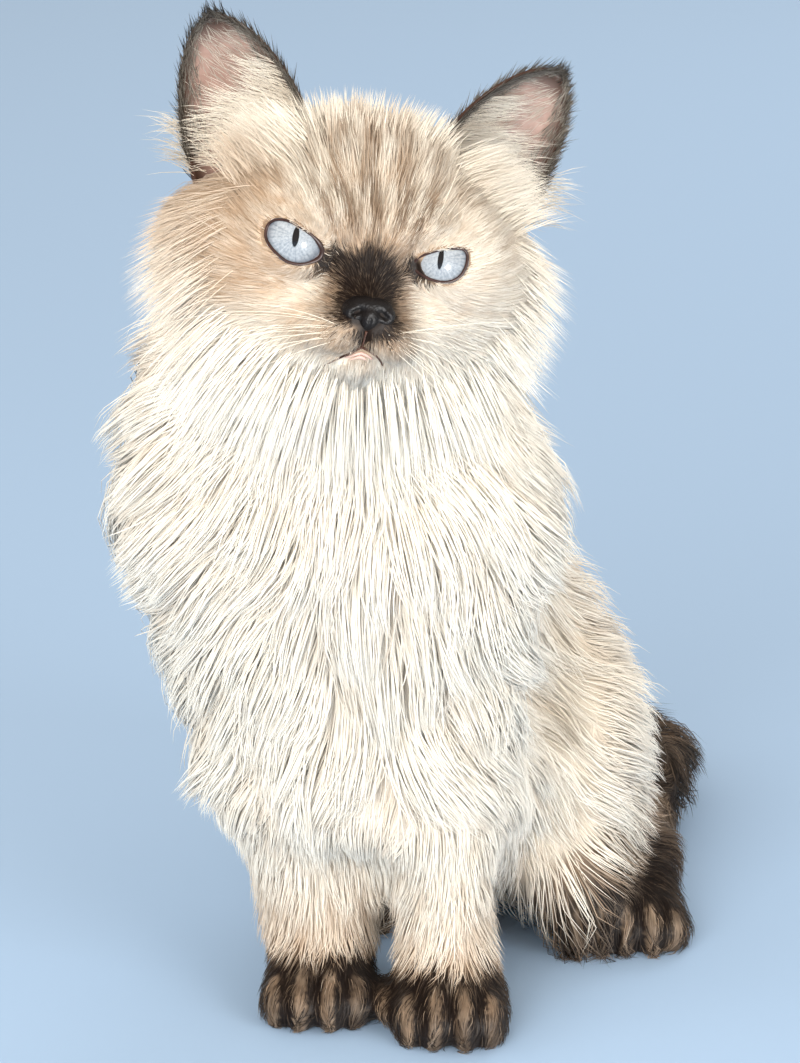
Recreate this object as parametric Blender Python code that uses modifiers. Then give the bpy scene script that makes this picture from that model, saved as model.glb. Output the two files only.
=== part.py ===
"""A seated long-haired colourpoint cat, life size, as solids that reach out to the tips of its coat.

The body is modelled whole, from rounded masses that are fused and smoothed, and is then parted with
thin cuts into the pieces a person would name. The cat faces -Y, its left side is +X, and it sits on
the floor at Z = 0. Its chest leans a little to its right, its hips lie a little to its left, and its
head turns and tilts to its left.
"""

import math

import bmesh
import bpy
from mathutils import Euler, Matrix, Vector

MM = 0.001

# The head's own frame: its origin is midway between the eyeballs, -Y is the way the face looks.
EYES_MIDPOINT = Vector((-0.0024, -0.112, 0.2804))
HEAD_TURN = math.radians(24.0)
HEAD_LIFT = math.radians(-8.0)
HEAD_TILT = math.radians(11.5)

EYE_SPREAD = 23.5 * MM
EYE_RADIUS = 10.8 * MM
EAR_HEIGHT = 43.0 * MM
EAR_HALF_WIDTH = 19.5 * MM
EAR_WALL = 3.2 * MM
EAR_CURL = math.radians(68.0)

CUT = 0.3 * MM
FLOOR_DEPTH = 60.0 * MM
BODY_VOXEL = 3.0 * MM
BODY_TRIANGLES = 3050
TAIL_VOXEL = 3.5 * MM
TAIL_TRIANGLES = 460
REACH = 400 * MM
SPHERE_SIDES = 20
SPHERE_RINGS = 12
CHAIN_STEPS = 5

COATS = {
    "cream": (0.80, 0.70, 0.58),
    "warm_cream": (0.72, 0.60, 0.46),
    "seal_brown": (0.14, 0.09, 0.065),
    "ice_blue": (0.55, 0.68, 0.80),
    "nose_black": (0.05, 0.04, 0.045),
}


def mm(*values):
    """A point or a set of radii given in millimetres."""
    return Vector(values) * MM


def clear_scene():
    for obj in list(bpy.data.objects):
        bpy.data.objects.remove(obj)


def coat_material(name):
    material = bpy.data.materials.new(name)
    material.use_nodes = True
    shader = material.node_tree.nodes["Principled BSDF"]
    shader.inputs["Base Color"].default_value = (*COATS[name], 1.0)
    is_wet = name in ("ice_blue", "nose_black")
    shader.inputs["Roughness"].default_value = 0.1 if is_wet else 0.9
    shader.inputs["Metallic"].default_value = 0.0
    return material


def head_frame():
    """The matrix that carries the head's own frame into the cat's."""
    turn = Matrix.Rotation(HEAD_TURN, 4, "Z")
    lift = Matrix.Rotation(HEAD_LIFT, 4, "X")
    tilt = Matrix.Rotation(HEAD_TILT, 4, "Y")
    return Matrix.Translation(EYES_MIDPOINT) @ turn @ lift @ tilt


def add_mass(bm, centre, radii, turn=(0.0, 0.0, 0.0), frame=None):
    """Adds one rounded mass. Its turn is in degrees about X, Y and Z."""
    place = Matrix.Translation(centre) @ Euler([math.radians(a) for a in turn]).to_matrix().to_4x4()
    size = Matrix.Diagonal((*radii, 1.0))
    whole = (frame or Matrix.Identity(4)) @ place @ size
    bmesh.ops.create_uvsphere(
        bm, u_segments=SPHERE_SIDES, v_segments=SPHERE_RINGS, radius=1.0, matrix=whole
    )


def add_pair(bm, centre, radii, turn=(0.0, 0.0, 0.0), frame=None):
    """Adds a mass on the left side and its mirror image on the right."""
    add_mass(bm, centre, radii, turn, frame)
    mirrored = Vector((-centre[0], centre[1], centre[2]))
    add_mass(bm, mirrored, radii, (turn[0], -turn[1], -turn[2]), frame)


def along(stations, share):
    """The point and radii at a share from 0 to 1 of the way through stations of (point, radii)."""
    spans = len(stations) - 1
    place = min(share * spans, spans - 1e-9)
    first = int(place)
    rest = place - first
    before = stations[max(first - 1, 0)]
    here, there = stations[first], stations[first + 1]
    after = stations[min(first + 2, spans)]

    def curve(a, b, c, d):
        return 0.5 * (
            2 * b
            + (c - a) * rest
            + (2 * a - 5 * b + 4 * c - d) * rest**2
            + (3 * b - a - 3 * c + d) * rest**3
        )

    point, radii = (
        Vector([curve(*values) for values in zip(before[row], here[row], there[row], after[row])])
        for row in (0, 1)
    )
    return point, radii


def add_chain(bm, stations, steps=CHAIN_STEPS):
    """Adds a limb or a trunk as a close row of ovals on a smooth path through its stations."""
    count = (len(stations) - 1) * steps
    for index in range(count + 1):
        add_mass(bm, *along(stations, index / count))


def ball(size):
    """The three equal radii of a ball, from its radius in millimetres."""
    return mm(size, size, size)


def mesh_object(name, bm, collection):
    mesh = bpy.data.meshes.new(name)
    bm.to_mesh(mesh)
    bm.free()
    obj = bpy.data.objects.new(name, mesh)
    collection.objects.link(obj)
    return obj


def applied(obj):
    """The object with its modifiers made part of its mesh."""
    graph = bpy.context.evaluated_depsgraph_get()
    mesh = bpy.data.meshes.new_from_object(obj.evaluated_get(graph))
    obj.modifiers.clear()
    obj.data = mesh
    return obj


def fused(obj, voxel, triangles, smoothing):
    """Fuses an object's overlapping masses into one closed, smooth skin of about so many triangles."""
    remesh = obj.modifiers.new("fuse", "REMESH")
    remesh.mode = "VOXEL"
    remesh.voxel_size = voxel
    smooth = obj.modifiers.new("smooth", "SMOOTH")
    smooth.factor = 0.5
    smooth.iterations = smoothing
    applied(obj)
    thin = obj.modifiers.new("thin", "DECIMATE")
    thin.ratio = min(1.0, triangles / (2 * len(obj.data.polygons)))
    return applied(obj)


def boolean(obj, cutter, operation):
    cut = obj.modifiers.new(operation.lower(), "BOOLEAN")
    cut.operation = operation
    cut.object = cutter
    return applied(obj)


def copy_of(obj, name, collection):
    twin = bpy.data.objects.new(name, obj.data.copy())
    collection.objects.link(twin)
    return twin


def swollen(obj, collection, amount=CUT):
    """A copy that is larger by a small amount all round, to cut the next piece with."""
    twin = copy_of(obj, obj.name + "_cutter", collection)
    swell = twin.modifiers.new("swell", "DISPLACE")
    swell.strength = amount
    swell.mid_level = 0.0
    return applied(twin)


def head_masses(bm, frame):
    """The head: a broad domed skull, full cheeks, a short flat face and a small firm chin."""
    add_mass(bm, mm(2, 34, 4.5), mm(54, 48, 43), frame=frame)
    add_mass(bm, mm(-34, 29, -12), mm(34, 35, 36), frame=frame)
    add_mass(bm, mm(38, 29, -10), mm(32, 35, 36), frame=frame)
    add_mass(bm, mm(46, 34, 14), mm(15, 18, 16), frame=frame)
    add_mass(bm, mm(2, 30, -38), mm(57, 40, 30), frame=frame)
    add_mass(bm, mm(0, 15, -10), mm(44, 23, 34), frame=frame)
    add_pair(bm, mm(18, 4, 14.5), mm(17, 13, 9.5), turn=(0, 18, 0), frame=frame)
    add_pair(bm, mm(24, 4, -21), mm(18, 13, 13), frame=frame)
    add_mass(bm, mm(0, -2, -6), mm(11, 11, 12), frame=frame)
    add_mass(bm, mm(0, -8, -16), mm(9, 9, 8), frame=frame)
    add_pair(bm, mm(8.5, -8.5, -27), mm(12.5, 11.5, 9.5), frame=frame)
    add_mass(bm, mm(0, -5, -38.5), mm(11.5, 10.5, 7), frame=frame)


def chest_masses(bm):
    """The ruff, the chest and the shoulders, which lean to the cat's right."""
    add_chain(
        bm,
        [
            (mm(-25, -54, 254), mm(60, 42, 15)),
            (mm(-28, -60, 240), mm(73, 44, 15)),
            (mm(-26, -66, 216), mm(79, 52, 16)),
            (mm(-24, -68, 192), mm(84, 56, 16)),
            (mm(-24, -67, 168), mm(86, 56, 16)),
            (mm(-22, -63, 136), mm(77, 51, 16)),
            (mm(-21, -60, 104), mm(66, 43, 16)),
            (mm(-18, -60, 74), mm(57, 33, 16)),
        ],
        steps=4,
    )
    add_mass(bm, mm(-20, -24, 176), mm(60, 50, 50))


def rear_masses(bm):
    """The barrel, the sloping back, the rump and the folded thighs, which lie to the cat's left."""
    add_chain(
        bm,
        [
            (mm(-20, -24, 222), mm(54, 42, 32)),
            (mm(-18, -10, 188), mm(52, 46, 40)),
            (mm(-12, 8, 152), mm(49, 50, 44)),
            (mm(-3, 28, 118), mm(49, 57, 50)),
            (mm(7, 50, 88), mm(51, 59, 54)),
            (mm(13, 72, 58), mm(50, 53, 56)),
        ],
        steps=3,
    )
    add_mass(bm, mm(8, 18, 46), mm(44, 56, 44))
    add_mass(bm, mm(6, -20, 66), mm(38, 32, 44))
    add_mass(bm, mm(47, 34, 58), mm(27, 54, 52), turn=(-25, 0, 8))
    add_mass(bm, mm(-22, 42, 58), mm(27, 54, 52), turn=(-25, 0, -8))
    add_mass(bm, mm(46, 2, 24), mm(22, 30, 27))
    add_mass(bm, mm(-24, 12, 24), mm(22, 30, 27))


def foreleg_masses(bm):
    """Two straight forelegs, set close together, with long feathering towards the elbows."""
    add_chain(
        bm,
        [
            (mm(14, -67, 12), ball(18)),
            (mm(13, -63, 44), ball(20)),
            (mm(11, -60, 84), ball(25)),
            (mm(6, -56, 128), ball(32)),
        ],
    )
    add_chain(
        bm,
        [
            (mm(-30, -58, 12), ball(18.5)),
            (mm(-35, -55, 46), ball(24.5)),
            (mm(-45, -54, 84), ball(31.5)),
            (mm(-54, -52, 128), ball(40)),
        ],
    )


def paw_masses(bm, centre, yaw, width, length):
    """One round paw with four toes, lying flat."""
    frame = Matrix.Translation(centre) @ Matrix.Rotation(math.radians(yaw), 4, "Z")
    add_mass(bm, mm(0, 3, 9), (width, length, 16 * MM), frame=frame)
    for side in (-1, 1):
        inner_toe = Vector((side * width * 0.34, -length * 0.72, 8 * MM))
        outer_toe = Vector((side * width * 0.74, -length * 0.46, 7 * MM))
        add_mass(bm, inner_toe, mm(8.2, 11, 10.5), frame=frame)
        add_mass(bm, outer_toe, mm(7.4, 11, 10), frame=frame)


def feet_masses(bm):
    paw_masses(bm, mm(17, -74, 0), 11, 21.5 * MM, 24 * MM)
    paw_masses(bm, mm(-30, -68, 0), 9, 20.5 * MM, 24 * MM)
    paw_masses(bm, mm(65, 19, 0), 14, 21 * MM, 27 * MM)
    paw_masses(bm, mm(-34, 26, 0), -4, 20 * MM, 26 * MM)
    add_mass(bm, mm(60, 52, 15), mm(19, 36, 18), turn=(0, 0, 12))
    add_mass(bm, mm(-32, 62, 15), mm(19, 34, 18), turn=(0, 0, -6))


def whole_body(collection):
    """The whole coated body in one closed surface, flat where it meets the floor."""
    bm = bmesh.new()
    head_masses(bm, head_frame())
    chest_masses(bm)
    rear_masses(bm)
    foreleg_masses(bm)
    feet_masses(bm)
    body = fused(mesh_object("body", bm, collection), BODY_VOXEL, BODY_TRIANGLES, 5)
    return boolean(body, floor_slab(), "DIFFERENCE")


def box(name, low, high, collection, frame=None):
    bm = bmesh.new()
    middle = (Vector(low) + Vector(high)) / 2
    size = Vector(high) - Vector(low)
    place = Matrix.Translation(middle) @ Matrix.Diagonal((*size, 1.0))
    bmesh.ops.create_cube(bm, size=1.0, matrix=(frame or Matrix.Identity(4)) @ place)
    return mesh_object(name, bm, collection)


def floor_slab():
    """A thick slab under Z = 0 that trims what rests on the floor to a flat."""
    low, high = Vector((-REACH, -REACH, -FLOOR_DEPTH)), Vector((REACH, REACH, 0.0))
    return box("floor_slab", low, high, bpy.data.collections["cutters"])


def oval(name, centre, radii, collection, turn=(0.0, 0.0, 0.0), frame=None, sides=24):
    bm = bmesh.new()
    place = Matrix.Translation(centre) @ Euler([math.radians(a) for a in turn]).to_matrix().to_4x4()
    whole = (frame or Matrix.Identity(4)) @ place @ Matrix.Diagonal((*radii, 1.0))
    bmesh.ops.create_uvsphere(bm, u_segments=sides, v_segments=sides // 2, radius=1.0, matrix=whole)
    return mesh_object(name, bm, collection)


def cut_plane(point, pitch):
    """A frame on a cutting plane. Its Z points up at a pitch of 0, and forward at a pitch of 90."""
    return Matrix.Translation(point) @ Matrix.Rotation(math.radians(pitch), 4, "X")


def body_cutters(collection):
    """Where the body is parted, in the order the pieces are taken from it, as pairs of cutters.

    Each entry is a node's name, the shape that takes it, and the same shape a little larger. A
    plane takes all that is on its far side, a box what is between two corners, and an oval what
    is inside its radii.
    """
    throat = head_frame() @ cut_plane(mm(0, 20, -41), 22)
    collar = cut_plane(mm(-20, -60, 203), 15)
    breast = cut_plane(mm(-8, -16, 120), 80)
    croup = cut_plane(mm(10, 80, 60), -96)
    shapes = [
        ("head", "plane", throat),
        ("neck", "plane", collar),
        ("fore_paw_left", "box", mm(-6.5, -125, -10), mm(60, -38, 25)),
        ("fore_paw_right", "box", mm(-80, -125, -10), mm(-7.1, -30, 25)),
        ("foreleg_left", "box", mm(-6.5, -140, 20), mm(80, -30, 78)),
        ("foreleg_right", "box", mm(-120, -140, 20), mm(-7.1, -30, 78)),
        ("hind_paw_left", "box", mm(36, -15, -10), mm(110, 104, 24)),
        ("hind_paw_right", "box", mm(-80, -10, -10), mm(-12, 108, 24)),
        ("thigh_left", "oval", mm(65, 32, 58), mm(35, 62, 60), (-25, 0, 8)),
        ("thigh_right", "oval", mm(-41, 40, 58), mm(35, 62, 60), (-25, 0, -8)),
        ("chest", "plane", breast),
        ("rump", "plane", croup),
    ]
    cutters = []
    for name, kind, *sizes in shapes:
        pair = []
        for gap in (0.0, CUT):
            grow = Vector((gap, gap, gap))
            if kind == "plane":
                low, high = Vector((-REACH, -REACH, -gap)), Vector((REACH, REACH, REACH))
                pair.append(box(name + "_cutter", low, high, collection, sizes[0]))
            elif kind == "box":
                pair.append(box(name + "_cutter", sizes[0] - grow, sizes[1] + grow, collection))
            else:
                pair.append(oval(name + "_cutter", sizes[0], sizes[1] + grow, collection, sizes[2]))
        cutters.append((name, *pair))
    return cutters


def part_body(body, parts, cutters):
    """Takes each named piece from the body in turn. What is left is the trunk."""
    pieces = {}
    for name, snug, loose in body_cutters(cutters):
        piece = boolean(copy_of(body, name, parts), snug, "INTERSECT")
        boolean(body, loose, "DIFFERENCE")
        pieces[name] = piece
    body.name = "trunk"
    pieces["trunk"] = body
    return pieces


def eye(name, side, collection):
    centre = Vector((side * EYE_SPREAD, 0.0, 0.0))
    radii = (EYE_RADIUS, EYE_RADIUS, EYE_RADIUS)
    return oval(name, centre, radii, collection, frame=head_frame(), sides=16)


def eye_opening(side, collection):
    """The shape between the lids, which slants down to the nose, in front of the eyeball."""
    centre = mm(side * 23.5, -13.5, -0.5)
    turn = (0, side * -14, 0)
    return oval("eye_opening", centre, mm(9.5, 9.0, 7.0), collection, turn, head_frame(), sides=16)


def nose(collection):
    """The nose leather: a small rounded wedge, broad above and narrow below."""
    bm = bmesh.new()
    frame = head_frame()
    add_mass(bm, mm(0, -15, -17.5), mm(8.0, 5.5, 5.0), frame=frame)
    add_pair(bm, mm(4.2, -15.5, -20.5), mm(4.2, 5.0, 4.0), frame=frame)
    add_mass(bm, mm(0, -15.5, -23.5), mm(3.4, 4.5, 4.0), frame=frame)
    return fused(mesh_object("nose", bm, collection), 0.9 * MM, 200, 2)


def ear(name, side, collection):
    """One ear: an open cup, round at the tip, that faces forward and a little outward."""
    bm = bmesh.new()
    bmesh.ops.create_grid(bm, x_segments=8, y_segments=8, size=1.0)
    for vert in bm.verts:
        rise = (vert.co.y + 1.0) / 2
        bend = vert.co.x * EAR_CURL
        half = EAR_HALF_WIDTH * (1.0 - rise**1.9) ** 0.62 + EAR_WALL / 2
        cup = 0.75 * half * (1.0 - 0.25 * rise)
        across = half * math.sin(bend) / math.sin(EAR_CURL)
        vert.co = Vector((across, cup * math.cos(bend), rise * EAR_HEIGHT))
    obj = mesh_object(name, bm, collection)
    wall = obj.modifiers.new("wall", "SOLIDIFY")
    wall.thickness = EAR_WALL
    wall.offset = 0.0
    root = Matrix.Translation(mm(side * 40.0 + 5.0, 42.0, 23.0))
    splay = Matrix.Rotation(math.radians(side * 25.0), 4, "Y")
    open_out = Matrix.Rotation(math.radians(side * 14.0), 4, "Z")
    lean = Matrix.Rotation(math.radians(-6.0), 4, "X")
    applied(obj)
    obj.data.transform(head_frame() @ root @ splay @ lean @ open_out)
    return obj


def tail_stations():
    """The path and the radii of the tail, which turns on the floor behind and ends at the left heel."""
    return [
        (mm(8, 104, 40), ball(15)),
        (mm(1, 132, 24), ball(18)),
        (mm(9, 158, 19), ball(19)),
        (mm(34, 167, 18), ball(19)),
        (mm(54, 148, 18), ball(19)),
        (mm(58, 118, 17.5), ball(18.5)),
        (mm(60, 86, 16), ball(16)),
    ]


def add_tail(pieces, body_cutter, parts, cutters):
    """The bushy tail, trimmed where it meets the body, in a root, a middle and a tip."""
    bm = bmesh.new()
    add_chain(bm, tail_stations(), 7)
    tail = fused(mesh_object("tail_root", bm, parts), TAIL_VOXEL, TAIL_TRIANGLES, 3)
    boolean(tail, floor_slab(), "DIFFERENCE")
    boolean(tail, body_cutter, "DIFFERENCE")
    keep_largest(tail)
    lengths = [
        ("tail_tip", mm(30, 40, -10), mm(140, 146, 80)),
        ("tail_middle", mm(-60, 146, -10), mm(140, 240, 80)),
    ]
    for name, low, high in lengths:
        grow = Vector((CUT, CUT, CUT))
        piece = copy_of(tail, name, parts)
        pieces[name] = boolean(piece, box(name + "_cutter", low, high, cutters), "INTERSECT")
        boolean(tail, box(name + "_cutter", low - grow, high + grow, cutters), "DIFFERENCE")
    pieces["tail_root"] = tail


def add_face(pieces, parts, cutters):
    """The eyes, the nose and the ears, each let into the head with a thin gap."""
    head = pieces["head"]
    for word, side in (("left", 1.0), ("right", -1.0)):
        ball = eye("eye_" + word, side, parts)
        boolean(head, eye_opening(side, cutters), "DIFFERENCE")
        boolean(head, swollen(ball, cutters), "DIFFERENCE")
        pieces[ball.name] = ball
    tip = nose(parts)
    for ball in (pieces["eye_left"], pieces["eye_right"]):
        boolean(tip, swollen(ball, cutters), "DIFFERENCE")
    boolean(head, swollen(tip, cutters), "DIFFERENCE")
    pieces["nose"] = tip
    for word, side in (("left", 1.0), ("right", -1.0)):
        shell = ear("ear_" + word, side, parts)
        boolean(shell, swollen(head, cutters), "DIFFERENCE")
        pieces[shell.name] = shell


def keep_largest(obj):
    """Drops the crumbs that a cut leaves, and keeps the largest closed body."""
    bm = bmesh.new()
    bm.from_mesh(obj.data)
    unseen = set(bm.verts)
    islands = []
    while unseen:
        front = [unseen.pop()]
        island = set(front)
        while front:
            for edge in front.pop().link_edges:
                for vert in edge.verts:
                    if vert in unseen:
                        unseen.discard(vert)
                        island.add(vert)
                        front.append(vert)
        islands.append(island)
    islands.sort(key=len)
    for island in islands[:-1]:
        bmesh.ops.delete(bm, geom=list(island), context="VERTS")
    bm.to_mesh(obj.data)
    bm.free()


def colour_pieces(pieces):
    points = ("ear", "tail", "paw")
    for name, obj in pieces.items():
        if name.startswith("eye"):
            coat = "ice_blue"
        elif name == "nose":
            coat = "nose_black"
        elif any(word in name for word in points):
            coat = "seal_brown"
        elif name in ("thigh_left", "thigh_right", "rump", "trunk"):
            coat = "warm_cream"
        else:
            coat = "cream"
        material = bpy.data.materials.get(coat) or coat_material(coat)
        obj.data.materials.clear()
        obj.data.materials.append(material)
        obj.data.shade_smooth()
        obj.data.set_sharp_from_angle(angle=math.radians(50))


def centre_on_floor(pieces):
    """Moves every piece so that the origin is under the middle of the whole, on the floor."""
    corners = [obj.matrix_world @ Vector(c) for obj in pieces.values() for c in obj.bound_box]
    middle = Vector(
        [(min(c[axis] for c in corners) + max(c[axis] for c in corners)) / 2 for axis in (0, 1)] + [0.0]
    )
    for obj in pieces.values():
        obj.data.transform(Matrix.Translation(-middle))
    print("centred by", [round(v / MM, 2) for v in middle])


def main():
    clear_scene()
    parts = bpy.data.collections.new("seated_cat")
    cutters = bpy.data.collections.new("cutters")
    for collection in (parts, cutters):
        bpy.context.scene.collection.children.link(collection)
    body = whole_body(parts)
    body_cutter = swollen(body, cutters)
    pieces = part_body(body, parts, cutters)
    add_face(pieces, parts, cutters)
    add_tail(pieces, body_cutter, parts, cutters)
    for obj in pieces.values():
        keep_largest(obj)
    colour_pieces(pieces)
    centre_on_floor(pieces)
    for cutter in list(cutters.objects):
        bpy.data.objects.remove(cutter)


if __name__ == "__main__":
    main()
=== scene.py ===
"""A seated, long-haired colourpoint cat at life size: its bare skin, eyes, nose, ears, whiskers and coat.

The coat is solid mesh, grown as thin tapering tufts that march over the skin along the lie of the hair,
rise to the coat's outer surface and gather into locks. Skin and coat take their markings from the same
functions of place. The cat faces -Y and its left side is +X.
"""

import logging
import math
from dataclasses import dataclass, field
from enum import Enum

import bmesh
import bpy
import numpy as np
from mathutils import Matrix, Vector
from mathutils.bvhtree import BVHTree
from mathutils.kdtree import KDTree


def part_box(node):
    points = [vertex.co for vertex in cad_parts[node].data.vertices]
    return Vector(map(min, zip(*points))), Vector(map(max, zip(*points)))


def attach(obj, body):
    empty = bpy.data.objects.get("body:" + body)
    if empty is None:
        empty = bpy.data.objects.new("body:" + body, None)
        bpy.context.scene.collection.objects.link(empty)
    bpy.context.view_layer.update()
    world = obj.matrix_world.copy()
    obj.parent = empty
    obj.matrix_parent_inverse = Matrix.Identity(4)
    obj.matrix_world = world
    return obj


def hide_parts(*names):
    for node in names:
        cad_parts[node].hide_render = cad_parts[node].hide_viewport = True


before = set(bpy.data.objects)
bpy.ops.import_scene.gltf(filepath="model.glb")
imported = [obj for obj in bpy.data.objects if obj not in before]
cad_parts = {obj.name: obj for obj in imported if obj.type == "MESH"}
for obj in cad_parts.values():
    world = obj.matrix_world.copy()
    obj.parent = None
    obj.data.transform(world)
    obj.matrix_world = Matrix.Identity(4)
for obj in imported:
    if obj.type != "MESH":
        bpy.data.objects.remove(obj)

LOG = logging.getLogger("seated_cat")
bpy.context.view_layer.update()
MM = 0.001
MM_PER_METRE = 1000.0
BODY = "root"
COAT_MAP = "OFBake"
MARKS = "marks"
SEED = 20

# The pose that the solids were modelled in. The head's frame has its origin between the eyeballs.
EYES_IN_DESIGN = Vector((-2.4, -112.0, 280.4)) * MM
HEAD_TURN = math.radians(24.0)
HEAD_LIFT = math.radians(-8.0)
HEAD_TILT = math.radians(11.5)

EYE_SPREAD = 23.5
EYE_RADIUS = 10.8
EYE_FRONT = 9.0
BARE_REACH = 9.0


class Slot(Enum):
    """What a piece's material stands for on the part."""

    CREAM = "coat_cream"
    WARM = "coat_warm"
    SEAL = "coat_seal"
    EYE = "eye"
    NOSE = "nose"


FLESH = (
    "head", "neck", "chest", "trunk", "rump", "thigh_left", "thigh_right", "foreleg_left",
    "foreleg_right", "fore_paw_left", "fore_paw_right", "hind_paw_left", "hind_paw_right",
    "tail_root", "tail_middle", "tail_tip",
)


def middle_of(node: str) -> Vector:
    """The middle of a CAD node's box."""
    low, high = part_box(node)
    return (low + high) / 2


EYES_MIDDLE = (middle_of("eye_left") + middle_of("eye_right")) / 2
SHIFT = np.array(EYES_MIDDLE - EYES_IN_DESIGN)
HEAD = (
    Matrix.Translation(EYES_MIDDLE)
    @ Matrix.Rotation(HEAD_TURN, 4, "Z")
    @ Matrix.Rotation(HEAD_LIFT, 4, "X")
    @ Matrix.Rotation(HEAD_TILT, 4, "Y")
)
HEAD_AXES = np.array(HEAD.to_3x3())


def to_head(points: np.ndarray) -> np.ndarray:
    """World points in the head's own frame, in millimetres."""
    return (points - np.array(EYES_MIDDLE)) @ HEAD_AXES / MM


def from_head(points: np.ndarray) -> np.ndarray:
    """Points in the head's own frame, in millimetres, as world points."""
    return np.asarray(points, float) * MM @ HEAD_AXES.T + np.array(EYES_MIDDLE)


def to_design(points: np.ndarray) -> np.ndarray:
    """World points in the frame that the solids were designed in, in millimetres."""
    return (points - SHIFT) / MM


def from_design(points: np.ndarray) -> np.ndarray:
    """Design points, in millimetres, as world points."""
    return np.asarray(points, float) * MM + SHIFT


def ease(low: float, high: float, values: np.ndarray) -> np.ndarray:
    """A smooth step from 0 at low to 1 at high. Low may be the larger of the two."""
    share = np.clip((np.asarray(values, float) - low) / (high - low), 0.0, 1.0)
    return share * share * (3.0 - 2.0 * share)


def unit(vectors: np.ndarray) -> np.ndarray:
    """The vectors at length 1."""
    return vectors / np.maximum(np.linalg.norm(vectors, axis=-1, keepdims=True), 1e-12)


def ripple(points: np.ndarray, wavelength: float, seed: int) -> np.ndarray:
    """A smooth, repeatable waviness in space.

    Args:
        points: Places, in any unit.
        wavelength: The size of its waves, in the same unit.
        seed: Which of many patterns.

    Returns:
        One value a point, mostly from -1 to 1.
    """
    rng = np.random.default_rng(seed)
    total = np.zeros(len(points))
    for _ in range(6):
        direction = unit(rng.normal(size=3)) * rng.uniform(0.7, 1.5)
        total += np.sin(points @ direction * (2 * math.pi / wavelength) + rng.uniform(0, 2 * math.pi))
    return total / 3.0


def between(
    p0: np.ndarray, p1: np.ndarray, p2: np.ndarray, p3: np.ndarray, t: np.ndarray
) -> np.ndarray:
    """Places from p1 (t is 0) to p2 (t is 1) on the smooth curve through four points."""
    return 0.5 * (
        2 * p1 + (p2 - p0) * t + (2 * p0 - 5 * p1 + 4 * p2 - p3) * t**2
        + (3 * p1 - p0 - 3 * p2 + p3) * t**3
    )


def nearest_of(points: np.ndarray, places: np.ndarray) -> np.ndarray:
    """The number of the point that is nearest to each place."""
    tree = KDTree(len(points))
    for number, point in enumerate(points):
        tree.insert(point, number)
    tree.balance()
    return np.array([tree.find(place)[1] for place in places.tolist()])


def linear(hex_colour: str) -> tuple[float, float, float, float]:
    """An sRGB hex colour as linear values for a shader."""
    parts = [int(hex_colour[place : place + 2], 16) / 255 for place in (1, 3, 5)]
    turned = [part / 12.92 if part <= 0.04045 else ((part + 0.055) / 1.055) ** 2.4 for part in parts]
    return (*turned, 1.0)


def add_node(
    tree: bpy.types.NodeTree, kind: str, inputs: dict | None = None, **settings: object
) -> bpy.types.Node:
    """Adds a shader node.

    Args:
        tree: The material's node tree.
        kind: The node's type name.
        inputs: For each input's name or number, a value, or the output socket to link.
        settings: The node's own properties.

    Returns:
        The new node.
    """
    node = tree.nodes.new(kind)
    for name, value in settings.items():
        setattr(node, name, value)
    for name, value in (inputs or {}).items():
        if isinstance(value, bpy.types.NodeSocket):
            tree.links.new(value, node.inputs[name])
        else:
            node.inputs[name].default_value = value
    return node


def new_material(name: str) -> tuple[bpy.types.Material, bpy.types.NodeTree, bpy.types.Node]:
    """An empty material with its output, as (material, tree, output)."""
    material = bpy.data.materials.new(name)
    material.use_nodes = True
    material.node_tree.nodes.clear()
    output = add_node(material.node_tree, "ShaderNodeOutputMaterial")
    return material, material.node_tree, output


def mix(
    tree: bpy.types.NodeTree, share: bpy.types.NodeSocket, first: bpy.types.NodeSocket | str,
    second: str, blend: str = "MIX",
) -> bpy.types.NodeSocket:
    """Mixes a second colour over a first by a share from 0 to 1. Text is an sRGB hex colour."""
    under = linear(first) if isinstance(first, str) else first
    inputs = {0: share, 6: under, 7: linear(second)}
    return add_node(tree, "ShaderNodeMix", inputs, data_type="RGBA", blend_type=blend).outputs[2]


def noise(
    tree: bpy.types.NodeTree, place: bpy.types.NodeSocket, scale: float, detail: float = 2.0,
    roughness: float = 0.5,
) -> bpy.types.NodeSocket:
    """Smooth noise at a place, from 0 to 1."""
    inputs = {"Vector": place, "Scale": scale, "Detail": detail, "Roughness": roughness}
    return add_node(tree, "ShaderNodeTexNoise", inputs).outputs["Fac"]


def remap(
    tree: bpy.types.NodeTree, value: bpy.types.NodeSocket, low: float, high: float,
    start: float = 0.0, end: float = 1.0,
) -> bpy.types.NodeSocket:
    """A value's place from low to high, as a number from start to end."""
    inputs = {"Value": value, "From Min": low, "From Max": high, "To Min": start, "To Max": end}
    return add_node(tree, "ShaderNodeMapRange", inputs).outputs[0]


def bump_normal(
    tree: bpy.types.NodeTree, height: bpy.types.NodeSocket, strength: float, depth_mm: float,
    invert: bool = False,
) -> bpy.types.NodeSocket:
    """Shading normals for a fine relief."""
    inputs = {"Strength": strength, "Distance": depth_mm * MM, "Height": height}
    return add_node(tree, "ShaderNodeBump", inputs, invert=invert).outputs[0]


def shade(
    tree: bpy.types.NodeTree, output: bpy.types.Node, colour: bpy.types.NodeSocket | tuple,
    roughness: float, more: dict | None = None,
) -> None:
    """Ends a material in a Principled shader. More holds its further inputs by name."""
    inputs = {"Base Color": colour, "Roughness": roughness, **(more or {})}
    shader = add_node(tree, "ShaderNodeBsdfPrincipled", inputs)
    tree.links.new(shader.outputs[0], output.inputs[0])


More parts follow.
